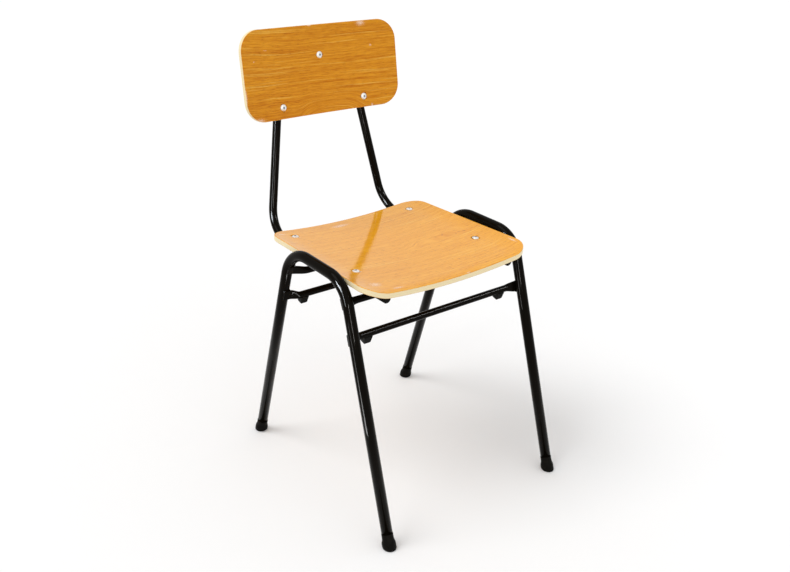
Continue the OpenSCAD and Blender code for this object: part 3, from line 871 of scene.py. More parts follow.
@dataclass(frozen=True)
class Plan:
    """The chair's named sizes, which repeat those of its CAD source, and the places that follow from them."""

    leg_od: float = 20 * MM
    leg_wall: float = 1.5 * MM
    run_h: float = 452 * MM
    foot_span: float = 445 * MM
    front_foot_w: float = 398 * MM
    rear_foot_w: float = 384 * MM
    front_lean: float = 18.7
    rear_lean: float = 15.3
    front_bend_r: float = 60 * MM
    rear_bend_r: float = 70 * MM
    rail_od: float = 13 * MM
    rail_wall: float = 1.5 * MM
    front_rail_drop: float = 43 * MM
    rear_rail_drop: float = 46 * MM
    lower_rail_drop: float = 102 * MM
    press_len: float = 15 * MM
    flat_len: float = 14 * MM
    flat_reach: float = 6 * MM
    flat_set: float = 7.7 * MM
    hoop_od: float = 16 * MM
    hoop_wall: float = 1.5 * MM
    seat_rail_front_w: float = 283 * MM
    seat_rail_rear_w: float = 274 * MM
    seat_rail_setback: float = 17 * MM
    hoop_clear: float = 49 * MM
    hoop_low_r: float = 60 * MM
    hoop_top_r: float = 60 * MM
    hoop_top_h: float = 737 * MM
    hoop_top_w: float = 156 * MM
    back_lean: float = 10.4
    seat_front_gap: float = 0.6 * MM
    seat_rear_gap: float = 4.2 * MM
    seat_depth: float = 339 * MM
    seat_setback: float = 91.5 * MM
    seat_corner_r: float = 40 * MM
    seat_t: float = 10.5 * MM
    seat_dish_r: float = 1400 * MM
    seat_dish_w: float = 280 * MM
    seat_side_r: float = 230 * MM
    seat_roll: float = 16 * MM
    seat_roll_r: float = 90 * MM
    back_w: float = 352 * MM
    back_h: float = 167.5 * MM
    back_corner_r: float = 40.5 * MM
    back_t: float = 10 * MM
    back_curve_r: float = 1190 * MM
    back_drop: float = 27 * MM
    low_bolt_drop: float = 62.5 * MM
    bolt_d: float = 6 * MM
    head_d: float = 13 * MM
    head_h: float = 2.8 * MM
    head_rim: float = 0.8 * MM
    head_sink: float = 0.9 * MM
    head_clear: float = 0.3 * MM
    bolt_fit: float = 0.3 * MM
    key_af: float = 4 * MM
    key_depth: float = 1.6 * MM
    nut_af: float = 10 * MM
    nut_h: float = 5 * MM
    flange_h: float = 1.2 * MM
    flange_d: float = 12.4 * MM
    bolt_proud: float = 1.5 * MM
    spacer_d: float = 11.5 * MM
    front_bolt_in: float = 105 * MM
    rear_bolt_in: float = 37 * MM
    cap_wall: float = 2.4 * MM
    cap_lip: float = 0.6 * MM
    cap_h: float = 28 * MM
    cap_foot_h: float = 13 * MM
    cap_base: float = 7 * MM
    bumper_w: float = 17 * MM
    bumper_low_w: float = 12 * MM
    bumper_d: float = 14 * MM
    bumper_drop: float = 18 * MM
    bumper_lean: float = 15
    bumper_wrap: float = 2.2 * MM
    front_bumper_in: float = 40 * MM
    rear_bumper_in: float = 32 * MM
    plug_head_t: float = 3 * MM
    plug_stem: float = 14 * MM
    slit: float = 0.4 * MM
    weld_sink: float = 0.5 * MM
    slide_fit: float = 0.15 * MM
    bear_gap: float = 0.1 * MM
    bolt_tip: float = 0.7 * MM

    @property
    def toe(self) -> float:
        """How far each side frame's plane turns out at the front, in radians."""
        return math.atan((self.front_foot_w - self.rear_foot_w) / 2 / self.foot_span)

    @property
    def foot_half_w(self) -> float:
        """From the middle of the chair to a side frame, midway between its feet."""
        return (self.front_foot_w + self.rear_foot_w) / 4

    @property
    def plane_half(self) -> float:
        """Half the distance between one frame's feet, in the frame's own plane."""
        return self.foot_span / 2 / math.cos(self.toe)

    def leg_x(self, y: float) -> float:
        """How far out the legs' plane is at y."""
        return self.foot_half_w - y * math.tan(self.toe)

    @property
    def flat_half_t(self) -> float:
        """Half the thickness of a rail's pressed flat."""
        return self.rail_wall + self.slit / 2

    @property
    def flat_half_h(self) -> float:
        """Half the height of a rail's pressed flat."""
        return math.pi * self.rail_od / 4

    @property
    def standoff(self) -> float:
        """From the centre of a leg to the centre of its rail."""
        return self.leg_od / 2 + self.flat_half_t + self.flat_set - self.weld_sink

    def upper_rail_h(self, end: End) -> float:
        """The height of an upper cross rail's centre line."""
        return self.run_h - (self.rear_rail_drop if end.behind else self.front_rail_drop)

    @property
    def lower_rail_h(self) -> float:
        """The height of the lower cross rails' centre lines."""
        return self.run_h - self.lower_rail_drop

    def rail_place(self, height: float, end: End) -> tuple[float, float]:
        """Where a cross rail runs.

        Args:
            height: The height of its centre line.
            end: The legs that it joins.

        Returns:
            Its place front to back, from the feet's midline, and its lean in degrees.
        """
        behind = end.behind
        lean = self.rear_lean if behind else self.front_lean
        bend = self.rear_bend_r if behind else self.front_bend_r
        slope = math.radians(lean)
        corner = self.run_h * math.tan(slope) + bend * math.tan(math.radians(90 - lean) / 2)
        start = self.run_h - bend + (bend - self.standoff) * math.sin(slope)
        if height > start:
            slope = math.asin((height - self.run_h + bend) / (bend - self.standoff))
        inset = corner - (bend - self.standoff) * math.cos(slope)
        inset -= max(0.0, start - height) * math.tan(math.radians(lean))
        half = self.foot_span / 2
        return (half - inset if behind else inset - half), math.degrees(slope)

    @property
    def seat_front_y(self) -> float:
        """The seat's front edge, from the feet's midline."""
        return self.seat_setback - self.foot_span / 2

    @property
    def seat_rear_y(self) -> float:
        """The seat's rear edge."""
        return self.seat_front_y + self.seat_depth

    @property
    def seat_front_w(self) -> float:
        """The seat's width at its front edge."""
        return 2 * (self.leg_x(self.seat_front_y) - self.leg_od / 2 - self.seat_front_gap)

    @property
    def seat_rear_w(self) -> float:
        """The seat's width at its rear edge."""
        return 2 * (self.leg_x(self.seat_rear_y) - self.leg_od / 2 - self.seat_rear_gap)

    @property
    def seat_rail_h(self) -> float:
        """The height of the seat rails' centre lines, as they would lie level."""
        return self.upper_rail_h(End.FRONT) + self.rail_od / 2 + self.hoop_od / 2 + self.bear_gap

    @property
    def seat_rail_front_y(self) -> float:
        """The front ends of the seat rails."""
        return self.seat_front_y + self.seat_rail_setback

    @property
    def hoop_corner_y(self) -> float:
        """The hoop's lower corners."""
        return self.seat_rear_y + self.hoop_clear

    @property
    def pivot(self) -> Vector:
        """The centre of the front upper rail, about which the seat tilts."""
        height = self.upper_rail_h(End.FRONT)
        return Vector((0.0, self.rail_place(height, End.FRONT)[0], height))

    @property
    def seat_tilt(self) -> float:
        """How far the seat falls to the rear, in radians, because it lies on both upper rails."""
        rear_h = self.upper_rail_h(End.REAR)
        return math.atan((self.pivot.z - rear_h) / (self.rail_place(rear_h, End.REAR)[0] - self.pivot.y))

    @property
    def tilting(self) -> Matrix:
        """Tilts what is worked out for a level seat."""
        to_pivot = Matrix.Translation(self.pivot)
        return to_pivot @ Matrix.Rotation(-self.seat_tilt, 4, "X") @ to_pivot.inverted()

    @property
    def hoop_foot(self) -> Vector:
        """Where the hoop's own plane meets the seat rails."""
        return self.tilting @ Vector((0.0, self.hoop_corner_y, self.seat_rail_h))

    @property
    def hoop_len(self) -> float:
        """From the hoop's lower corners to its top, along its lean."""
        return (self.hoop_top_h - self.hoop_foot.z) / math.cos(math.radians(self.back_lean))

    @property
    def splay(self) -> float:
        """How far each seat rail turns out at the front, in radians."""
        spread = (self.seat_rail_front_w - self.seat_rail_rear_w) / 2
        return math.atan(spread / (self.hoop_corner_y - self.seat_rail_front_y))

    def seat_rail_x(self, y: float) -> float:
        """How far out the seat rails are at y."""
        return self.seat_rail_rear_w / 2 + (self.hoop_corner_y - y) * math.tan(self.splay)

    @property
    def upright_tilt(self) -> float:
        """How far each upright leans in, in radians."""
        return math.atan((self.seat_rail_rear_w - self.hoop_top_w) / 2 / self.hoop_len)

    def bearing_h(self, x: float) -> float:
        """The height of the dish's axis over a seat rail at x that its underside bears on."""
        reach = self.seat_dish_r + self.seat_t + self.hoop_od / 2 + self.bear_gap
        return math.sqrt(reach ** 2 - x ** 2)

    @property
    def seat_top_h(self) -> float:
        """The height of the top along the middle of the seat, as it would lie level."""
        at_plugs = max(0.0, self.seat_front_y + self.seat_roll - self.seat_rail_front_y + self.plug_head_t)
        roll_drop = self.seat_roll_r - math.sqrt(self.seat_roll_r ** 2 - at_plugs ** 2)
        rear = self.bearing_h(self.seat_rail_x(self.seat_rear_y))
        front = self.bearing_h(self.seat_rail_x(self.seat_rail_front_y)) + roll_drop
        return self.seat_rail_h + max(rear, front) - self.seat_dish_r

    @property
    def back_mid_t(self) -> float:
        """The middle of the backrest, along the hoop's lean."""
        return self.hoop_len - self.back_drop

    @property
    def low_bolt_t(self) -> float:
        """The lower back bolts, along the hoop's lean."""
        return self.back_mid_t - self.low_bolt_drop

    @property
    def low_bolt_x(self) -> float:
        """How far out the lower back bolts are."""
        return self.seat_rail_rear_w / 2 - self.low_bolt_t * math.tan(self.upright_tilt)

    @property
    def tube_face(self) -> float:
        """From the centre of the hoop's tube to what bears on it, the backrest or a nut."""
        return self.hoop_od / 2 + self.bear_gap

    @property
    def bolt_end(self) -> float:
        """From the centre of the hoop's tube to the tip of a bolt."""
        return self.tube_face + self.nut_h + self.bolt_proud

    @property
    def cap_r(self) -> float:
        """The outer radius of a foot cap."""
        return self.leg_od / 2 + self.slide_fit + self.cap_wall

    @property
    def middle_y(self) -> float:
        """The middle of the whole chair, from the feet's midline."""
        back = math.radians(self.back_lean)
        front = self.foot_span / 2 + self.cap_r / math.cos(math.radians(self.front_lean))
        rear = self.hoop_foot.y + self.hoop_len * math.sin(back) + self.bolt_end * math.cos(back)
        rear += (self.bolt_d / 2 - self.bolt_tip) * math.sin(back)
        return (rear - front) / 2

    @property
    def home(self) -> Matrix:
        """From the feet's midline to the chair's own origin."""
        return move(0.0, -self.middle_y, 0.0)

    @property
    def leg_plane(self) -> Matrix:
        """The right side frame's plane, Y along the floor and Z up."""
        return self.home @ move(self.foot_half_w, 0.0, 0.0) @ Matrix.Rotation(self.toe, 4, "Z")

    @property
    def seat_plane(self) -> Matrix:
        """From a level seat, placed from the feet's midline, to the tilted one in its place."""
        return self.home @ self.tilting

    @property
    def hoop_plane(self) -> Matrix:
        """The hoop's plane, X across, Y out of its rear and Z up its lean."""
        return self.home @ Matrix.Translation(self.hoop_foot) @ turn_about("X", -self.back_lean)

    def rail_frame(self, height: float, end: End) -> Matrix:
        """A cross rail's own frame, X along the rail and -Y towards its legs."""
        y, lean = self.rail_place(height, end)
        flip = Matrix.Diagonal((1.0, -1.0 if end.behind else 1.0, 1.0, 1.0))
        return self.home @ move(0.0, y, height) @ flip @ turn_about("X", -lean)


# The tubes


@dataclass
class TubeFrame:
    """The painted tubes: two side frames, the back hoop, four cross rails and their welds.

    The rim's form is in pairs: the share of the rim that is left, and the share of the thickness.
    """

    plan: Plan
    paint: bpy.types.Material
    around: int = 64
    bend_steps: int = 30
    rail_around: int = 48
    press_steps: int = 16
    squareness: float = 4.5
    straight_steps: int = 5
    upper_ease: float = 9 * MM
    lower_ease: float = 2.5 * MM
    rim: float = 0.7 * MM
    rim_form: tuple = ((1.0, 1.0), (0.3, 0.86), (0.0, 0.5))
    bead: float = 1.1 * MM
    ripple: float = 0.25 * MM
    ripple_pitch: float = 1.7 * MM
    bead_seed: float = 3.0
    bead_arm: float = 7 * MM
    bead_corner: float = 1.5 * MM
    bead_low: float = 0.2 * MM
    bead_in: float = 0.3 * MM
    bead_sink: float = 0.6 * MM
    bead_follow: float = 0.45
    crossing_out: float = 5.2 * MM
    crossing_half: float = 4.2 * MM
    crossing_points: int = 7
    recipe: Recipe = field(default_factory=bent_tube_recipe)
    bead_recipe: Recipe = field(default_factory=weld_bead_recipe)

    def _tube(
        self, name: str, corners: Sequence[Point], bends: Sequence[float], od: float, wall: float
    ) -> None:
        """Bends one hollow tube and hands it over in place of the node of its name."""
        base = line_mesh(name, [corners])
        set_attribute(base, "bend_radius", "FLOAT", bends)
        piece = self.recipe.grow(name, base, {
            "Outer Radius": od / 2, "Around": self.around,
            "Bend Steps": self.bend_steps, "Material": self.paint,
        })
        self._face_out(piece.data, Vector(corners[0]), (Vector(corners[1]) - Vector(corners[0])).normalized())
        shell = piece.modifiers.new("wall", "SOLIDIFY")
        shell.thickness = wall
        shell.offset = -1.0
        hand_over(piece, Slot.PAINT, name)

    @staticmethod
    def _face_out(mesh: bpy.types.Mesh, start: Vector, way: Vector) -> None:
        """Turns an open tube's faces outwards, judged at its first stretch."""
        face = mesh.polygons[0]
        from_start = face.center - start
        outward = from_start - way * from_start.dot(way)
        if face.normal.dot(outward) < 0:
            mesh.flip_normals()

    def side_frame(self, side: Side) -> None:
        """One side frame, from inside its front foot cap to inside its rear one."""
        plan = self.plan
        front = Vector((0.0, -plan.plane_half, 0.0))
        rear = Vector((0.0, plan.plane_half, 0.0))
        front_in = plan.run_h * math.tan(math.radians(plan.front_lean))
        rear_in = plan.run_h * math.tan(math.radians(plan.rear_lean))
        front_top = Vector((0.0, front_in - plan.plane_half, plan.run_h))
        rear_top = Vector((0.0, plan.plane_half - rear_in, plan.run_h))
        up = plan.cap_base + plan.bear_gap
        start = front + (front_top - front).normalized() * up
        stop = rear + (rear_top - rear).normalized() * up
        corners = [start, front_top, rear_top, stop]
        matrix = on_side(side) @ plan.leg_plane
        self._tube(
            f"side_frame_{side.word}", [matrix @ c for c in corners],
            (0.0, plan.front_bend_r, plan.rear_bend_r, 0.0), plan.leg_od, plan.leg_wall,
        )

    def back_hoop(self) -> None:
        """The hoop, from the front end of one seat rail to that of the other."""
        plan = self.plan
        half = [
            plan.seat_plane @ Vector((plan.seat_rail_front_w / 2, plan.seat_rail_front_y, plan.seat_rail_h)),
            plan.hoop_plane @ Vector((plan.seat_rail_rear_w / 2, 0.0, 0.0)),
            plan.hoop_plane @ Vector((plan.hoop_top_w / 2, 0.0, plan.hoop_len)),
        ]
        corners = half + [on_side(Side.LEFT) @ corner for corner in reversed(half)]
        bends = (0.0, plan.hoop_low_r, plan.hoop_top_r, plan.hoop_top_r, plan.hoop_low_r, 0.0)
        self._tube("back_hoop", corners, bends, plan.hoop_od, plan.hoop_wall)

    def _section(self, x: float, share: float, shrink: float = 1.0) -> list[Point]:
        """A rail's section at x, round at share 0 and pressed flat and set over at share 1."""
        plan = self.plan
        half_t = (plan.rail_od / 2 * (1 - share) + plan.flat_half_t * share) * shrink
        half_h = (plan.rail_od / 2 * (1 - share) + plan.flat_half_h * share) - (1 - shrink) * plan.flat_half_t
        power = 2.0 / (2.0 + self.squareness * share)
        ring = []
        for i in range(self.rail_around):
            c, s = math.cos(TURN * i / self.rail_around), math.sin(TURN * i / self.rail_around)
            ring.append((
                x,
                math.copysign(abs(c) ** power, c) * half_t - plan.flat_set * share,
                math.copysign(abs(s) ** power, s) * half_h,
            ))
        return ring

    def cross_rail(self, name: str, height: float, end: End) -> None:
        """One cross rail, its ends pressed from round to flat in a soft S."""
        plan = self.plan
        y, _ = plan.rail_place(height, end)
        half_len = plan.leg_x(y) + plan.flat_reach
        flat_x = half_len - plan.flat_len
        round_x = flat_x - plan.press_len
        ease_out = self.upper_ease if height > plan.lower_rail_h else self.lower_ease
        start = round_x - ease_out
        stations = [(x, 0.0, 1.0) for x in np.linspace(0.0, start, self.straight_steps + 1)[:-1]]
        for t in np.linspace(0.0, 1.0, self.press_steps + 1):
            stations.append((start + (plan.press_len + 2 * ease_out) * t, soft_step(t), 1.0))
        stations += [(half_len - self.rim * left, 1.0, shrink) for left, shrink in self.rim_form]
        right = [self._section(*s) for s in stations]
        left = [[(-x, py, pz) for x, py, pz in ring] for ring in reversed(right[1:])]
        mesh = placed(loft(name, left + right), plan.rail_frame(height, end))
        hand_over(add_piece(name, mesh, self.paint), Slot.PAINT, name)

    def _rail_bead(self, height: float, end: End, side: Side) -> list[Vector]:
        """The line of weld round one flat, in the corner between its rim and its leg."""
        plan = self.plan
        y, _ = plan.rail_place(height, end)
        centre_x = plan.leg_x(y)
        face = -(plan.flat_set + plan.flat_half_t)
        half_h = plan.flat_half_h - self.bead_low
        tip = plan.flat_reach - self.bead_in
        corner = self.bead_corner
        low = [(-self.bead_arm, -half_h), (0.0, -half_h), (tip - corner, -half_h), (tip, corner - half_h)]
        high = [(x, -z) for x, z in reversed(low)]
        line = []
        for x, z in [*low, (tip, 0.0), *high]:
            fall = plan.leg_od / 2 - math.sqrt((plan.leg_od / 2) ** 2 - x ** 2)
            line.append(Vector((centre_x + x, face + self.bead_sink - fall * self.bead_follow, z)))
        matrix = on_side(side) @ plan.rail_frame(height, end)
        return [matrix @ p for p in line]

    def _crossing_beads(self, end: End, side: Side) -> list[list[Vector]]:
        """The two short welds between a seat rail and the upper cross rail that it lies on."""
        plan = self.plan
        height = plan.upper_rail_h(end)
        y, _ = plan.rail_place(height, end)
        out = self.crossing_out
        rise = (plan.seat_rail_h - plan.pivot.z) / math.cos(plan.seat_tilt)
        lines = []
        for sign in (-1.0, 1.0):
            line = []
            for t in np.linspace(-self.crossing_half, self.crossing_half, self.crossing_points):
                above = plan.pivot.z + rise - (y + t - plan.pivot.y) * math.tan(plan.seat_tilt)
                above -= math.sqrt((plan.hoop_od / 2) ** 2 - out ** 2)
                below = height + math.sqrt((plan.rail_od / 2) ** 2 - t ** 2)
                line.append(Vector((plan.seat_rail_x(y) + sign * out, y + t, (above + below) / 2)))
            lines.append([on_side(side) @ plan.home @ p for p in line])
        return lines

    def welds(self) -> None:
        """All the weld beads, as one painted piece."""
        plan = self.plan
        lines = []
        for side in Side:
            for end in End:
                lines.append(self._rail_bead(plan.upper_rail_h(end), end, side))
                lines.append(self._rail_bead(plan.lower_rail_h, end, side))
                lines.extend(self._crossing_beads(end, side))
        piece = self.bead_recipe.grow("weld_beads", line_mesh("weld_beads", lines), {
            "Bead Radius": self.bead, "Ripple Pitch": self.ripple_pitch, "Ripple Height": self.ripple,
            "Seed": self.bead_seed, "Material": self.paint,
        })
        hand_over(piece, Slot.PAINT)

    def build(self) -> None:
        """Makes every painted piece."""
        plan = self.plan
        for side in Side:
            self.side_frame(side)
        self.back_hoop()
        for end in End:
            self.cross_rail(f"{end.value}_upper_rail", plan.upper_rail_h(end), end)
            self.cross_rail(f"{end.value}_lower_rail", plan.lower_rail_h, end)
        self.welds()


# The panels


@dataclass(frozen=True)
class Outline:
    """A tapered outline with round corners, its front edge on v = 0 and its rear edge at depth."""

    front_w: float
    rear_w: float
    depth: float
    radius: float
    arc_steps: int = 16
    step: float = 4 * MM

    def loop(self, inset: float) -> np.ndarray:
        """The outline drawn in by inset, with the same number of points for every inset."""
        taper = math.atan((self.front_w - self.rear_w) / 2 / self.depth)
        base = self.front_w / 2 - self.radius / math.cos(taper)
        front = np.array((base - self.radius * math.tan(taper), self.radius))
        rear = np.array((base - (self.depth - self.radius) * math.tan(taper), self.depth - self.radius))
        half = []
        for centre, start, stop in ((front, -math.pi / 2, taper), (rear, taper, math.pi / 2)):
            for angle in np.linspace(start, stop, self.arc_steps + 1):
                half.append(centre + (self.radius - inset) * np.array((math.cos(angle), math.sin(angle))))
        half = self._filled(half)
        other = [np.array((-p[0], p[1])) for p in reversed(half)]
        whole = self._across(other[-1], half[0]) + half + self._across(half[-1], other[0]) + other
        return np.array(whole)

    def _filled(self, half: list[np.ndarray]) -> list[np.ndarray]:
        """Adds points along the straight side between the two corners."""
        middle = self.arc_steps + 1
        count = int((self.depth - 2 * self.radius) / self.step)
        return half[:middle] + self._between(half[middle - 1], half[middle], count) + half[middle:]

    def _across(self, a: np.ndarray, b: np.ndarray) -> list[np.ndarray]:
        """Points between a and b along the front or the rear edge."""
        return self._between(a, b, int((self.rear_w - 2 * self.radius) / self.step))

    @staticmethod
    def _between(a: np.ndarray, b: np.ndarray, count: int) -> list[np.ndarray]:
        """Evenly spaced points between a and b, without either."""
        return [a + (b - a) * t for t in np.linspace(0.0, 1.0, count + 2)[1:-1]]


@dataclass(frozen=True)
class BoltSeat:
    """A bolt hole through a panel, with the recess in which its head sits."""

    u: float
    v: float
    head_r: float
    hole_r: float

    @classmethod
    def at(cls, plan: Plan, u: float, v: float) -> "BoltSeat":
        """The seat of one of the chair's bolts, at its place in the sheet."""
        return cls(u, v, plan.head_d / 2 + plan.head_clear, plan.bolt_d / 2 + plan.bolt_fit)


Surface = Callable[[np.ndarray, np.ndarray], np.ndarray]


def carried(matrix: np.ndarray, x: np.ndarray, y: np.ndarray, z: np.ndarray) -> np.ndarray:
    """Points of these coordinates, moved by a 4 by 4 matrix."""
    return (np.stack((x, y, z, np.ones(len(x))), axis=1) @ matrix.T)[:, :3]


@dataclass
class SheetBuilder:
    """Turns an outline and two surfaces into a closed plywood panel with softened edges and bolt recesses."""

    outline: Outline
    top: Surface
    under: Surface
    floor: Callable[[BoltSeat, np.ndarray], np.ndarray]
    thickness: float
    seats: Sequence[BoltSeat]
    edge_r: float = 1.5 * MM
    edge_steps: int = 5
    side_steps: int = 6
    margin: float = 0.8 * MM
    grid: float = 4 * MM
    rim_clear: float = 0.45
    hole_clear: float = 0.4
    shelf_share: float = 0.12
    around: int = 40

    def _circle(self, seat: BoltSeat, radius: float) -> np.ndarray:
        """Points on a circle about a bolt, in the sheet."""
        angles = np.arange(self.around) * TURN / self.around
        return np.stack((seat.u + radius * np.cos(angles), seat.v + radius * np.sin(angles)), axis=1)

    def _inner_points(self, rim: np.ndarray, radii: Sequence[float]) -> np.ndarray:
        """A grid of points inside the rim, clear of it and of the holes."""
        low, high = rim.min(axis=0), rim.max(axis=0)
        counts = np.maximum(((high - low) / self.grid).astype(int), 2)
        us = np.linspace(low[0], high[0], counts[0] + 1)[1:-1]
        vs = np.linspace(low[1], high[1], counts[1] + 1)[1:-1]
        spots = np.stack(np.meshgrid(us, vs), axis=-1).reshape(-1, 2)
        keep = np.ones(len(spots), bool)
        following = np.roll(rim, -1, axis=0)
        edge = following - rim
        square = (edge ** 2).sum(axis=1)
        inside = np.zeros(len(spots), bool)
        for start, stop, way, size in zip(rim, following, edge, square):
            t = np.clip(((spots - start) @ way) / size, 0.0, 1.0)
            away = np.linalg.norm(spots - (start + t[:, None] * way), axis=1)
            keep &= away > self.grid * self.rim_clear
            crosses = (start[1] > spots[:, 1]) != (stop[1] > spots[:, 1])
            with np.errstate(divide="ignore", invalid="ignore"):
                at = start[0] + (spots[:, 1] - start[1]) / (stop[1] - start[1]) * way[0]
            inside ^= crosses & (spots[:, 0] < at)
        for seat, radius in zip(self.seats, radii):
            away = np.hypot(spots[:, 0] - seat.u, spots[:, 1] - seat.v)
            keep &= away > radius + self.grid * self.hole_clear
        return spots[keep & inside]

    def _fill(self, rim: np.ndarray, radii: Sequence[float]) -> tuple[np.ndarray, list[tuple[int, ...]]]:
        """Triangles between the rim and the holes.

        Args:
            rim: The rim's points, in order.
            radii: The radius of each bolt's hole in this face.

        Returns:
            All points, the rim first and then each hole's circle, and the triangles.
        """
        loops = [rim] + [self._circle(seat, radius) for seat, radius in zip(self.seats, radii)]
        points, edges = [], []
        for loop in loops:
            start, count = len(points), len(loop)
            points.extend(Vector(p) for p in loop)
            edges.extend((start + i, start + (i + 1) % count) for i in range(count))
        points.extend(Vector(p) for p in self._inner_points(rim, radii))
        out, _, faces, origins, _, _ = delaunay_2d_cdt(points, edges, [], 1, 1e-7)
        flat = np.array([tuple(p) for p in out])
        back = [origin[0] for origin in origins]
        kept = []
        for face in faces:
            middle = flat[list(face)].mean(axis=0)
            in_hole = any(
                math.hypot(middle[0] - seat.u, middle[1] - seat.v) < radius * 0.98
                for seat, radius in zip(self.seats, radii)
            )
            if not in_hole:
                kept.append(tuple(back[i] for i in face))
        return np.array([tuple(p) for p in points]), kept

    def _levels(self) -> list[tuple[float, float]]:
        """The (inset, depth) pairs of the edge, from the top's rim round to the underside's rim."""
        arc = [
            (self.edge_r * (1 - math.sin(a)), self.edge_r * (1 - math.cos(a)))
            for a in np.linspace(0.0, math.pi / 2, self.edge_steps + 1)
        ]
        down = list(np.linspace(self.edge_r, self.thickness - self.edge_r, self.side_steps + 2)[1:-1])
        low = [(inset, self.thickness - depth) for inset, depth in reversed(arc)]
        return arc + [(0.0, depth) for depth in down] + low

    def build(self, name: str) -> bpy.types.Mesh:
        """Makes the panel's mesh, with its sheet coordinates and its depth through the plies."""
        spots: list[Point] = []
        sheet: list[Point] = []
        depths: list[float] = []
        faces: list[tuple[int, ...]] = []

        def add(flat: np.ndarray, depth: float, solid: Optional[np.ndarray] = None) -> int:
            """Adds points of the sheet at a depth, and returns the number of the first one."""
            share = depth / self.thickness
            if solid is None:
                upper = self.top(flat[:, 0], flat[:, 1])
                solid = upper * (1 - share) + self.under(flat[:, 0], flat[:, 1]) * share
            first = len(spots)
            spots.extend(map(tuple, solid))
            sheet.extend(map(tuple, flat))
            depths.extend([share] * len(flat))
            return first

        def join(a: int, b: int, count: int) -> None:
            """Adds the faces between two loops of points."""
            faces.extend((a + i, a + (i + 1) % count, b + (i + 1) % count, b + i) for i in range(count))

        rim = self.outline.loop(self.edge_r + self.margin)
        count = len(rim)
        starts = {}
        for face, depth, radii in (
            ("top", 0.0, [s.head_r for s in self.seats]),
            ("under", self.thickness, [s.hole_r for s in self.seats]),
        ):
            flat, triangles = self._fill(rim, radii)
            starts[face] = add(flat, depth)
            faces.extend(tuple(starts[face] + i for i in t) for t in triangles)
        previous = starts["top"]
        for inset, depth in self._levels():
            current = add(self.outline.loop(inset), depth)
            join(previous, current, count)
            previous = current
        join(previous, starts["under"], count)
        for index, seat in enumerate(self.seats):
            offset = count + index * self.around
            wide = self._circle(seat, seat.head_r)
            narrow = self._circle(seat, seat.hole_r)
            shelf = add(wide, self.thickness * self.shelf_share, self.floor(seat, wide))
            inner = add(narrow, self.thickness * self.shelf_share, self.floor(seat, narrow))
            join(starts["top"] + offset, shelf, self.around)
            join(shelf, inner, self.around)
            join(inner, starts["under"] + offset, self.around)
        mesh = mesh_from(name, spots, faces)
        set_attribute(mesh, "ply_depth", "FLOAT", depths)
        layer = mesh.uv_layers.new(name="sheet")
        corners = np.zeros(len(mesh.loops), np.int32)
        mesh.loops.foreach_get("vertex_index", corners)
        layer.data.foreach_set("uv", np.array(sheet, np.float32)[corners].ravel())
        return mesh


@dataclass
class SeatPanel:
    """The plywood seat: a shallow dish with rising sides and a rolled front edge."""

    plan: Plan
    wood: bpy.types.Material

    def _section(self, x: np.ndarray, extra: float) -> np.ndarray:
        """The height of the seat's section at x above the middle of its top, for the face at depth extra."""
        plan = self.plan
        dish_angle = math.asin(plan.seat_dish_w / 2 / plan.seat_dish_r)
        reach = plan.seat_dish_r - plan.seat_side_r
        axis_x = reach * math.sin(dish_angle)
        axis_z = plan.seat_dish_r - reach * math.cos(dish_angle)
        side = np.abs(x)
        dish = plan.seat_dish_r - np.sqrt((plan.seat_dish_r + extra) ** 2 - side ** 2)
        inner = np.maximum((plan.seat_side_r + extra) ** 2 - (side - axis_x) ** 2, 0.0)
        rising = axis_z - np.sqrt(inner)
        return np.where(side < (plan.seat_dish_r + extra) * math.sin(dish_angle), dish, rising)

    def _face(self, extra: float) -> Surface:
        """The seat's top for extra 0, or its underside for extra its thickness."""
        plan = self.plan
        roll_y = plan.seat_front_y + plan.seat_roll
        matrix = np.array(plan.seat_plane)

        def surface(u: np.ndarray, v: np.ndarray) -> np.ndarray:
            """The points of this face at places in the sheet."""
            y = v + plan.seat_front_y
            height = self._section(u, extra)
            radius = plan.seat_roll_r + height
            ahead = np.maximum(roll_y - y, 0.0)
            z = plan.seat_top_h - plan.seat_roll_r + np.sqrt(radius ** 2 - ahead ** 2)
            return carried(matrix, u, y, z)

        return surface

    def bolt_places(self) -> list[tuple[float, float]]:
        """The bolts' places, x out to the right and y from the feet's midline."""
        plan = self.plan
        rows = (plan.seat_front_y + plan.front_bolt_in, plan.seat_rear_y - plan.rear_bolt_in)
        return [(side.value * plan.seat_rail_x(y), y) for y in rows for side in Side]

    def head_height(self, x: float) -> float:
        """From the centre of the seat rail up to where a bolt's head bears."""
        plan = self.plan
        top = plan.seat_top_h + plan.seat_dish_r - math.sqrt(plan.seat_dish_r ** 2 - x ** 2)
        return top - plan.seat_rail_h - plan.head_sink

    def build(self) -> None:
        """Makes the seat and hands it over."""
        plan = self.plan
        seats = [BoltSeat.at(plan, x, y - plan.seat_front_y) for x, y in self.bolt_places()]
        matrix = np.array(plan.seat_plane)

        def floor(seat: BoltSeat, flat: np.ndarray) -> np.ndarray:
            """Points on the floor of a bolt's recess."""
            z = np.full(len(flat), plan.seat_rail_h + self.head_height(seat.u))
            return carried(matrix, flat[:, 0], flat[:, 1] + plan.seat_front_y, z)

        outline = Outline(plan.seat_front_w, plan.seat_rear_w, plan.seat_depth, plan.seat_corner_r)
        builder = SheetBuilder(outline, self._face(0.0), self._face(plan.seat_t), floor, plan.seat_t, seats)
        hand_over(add_piece("seat_panel", builder.build("seat_panel"), self.wood), Slot.SEAT, "seat_panel")


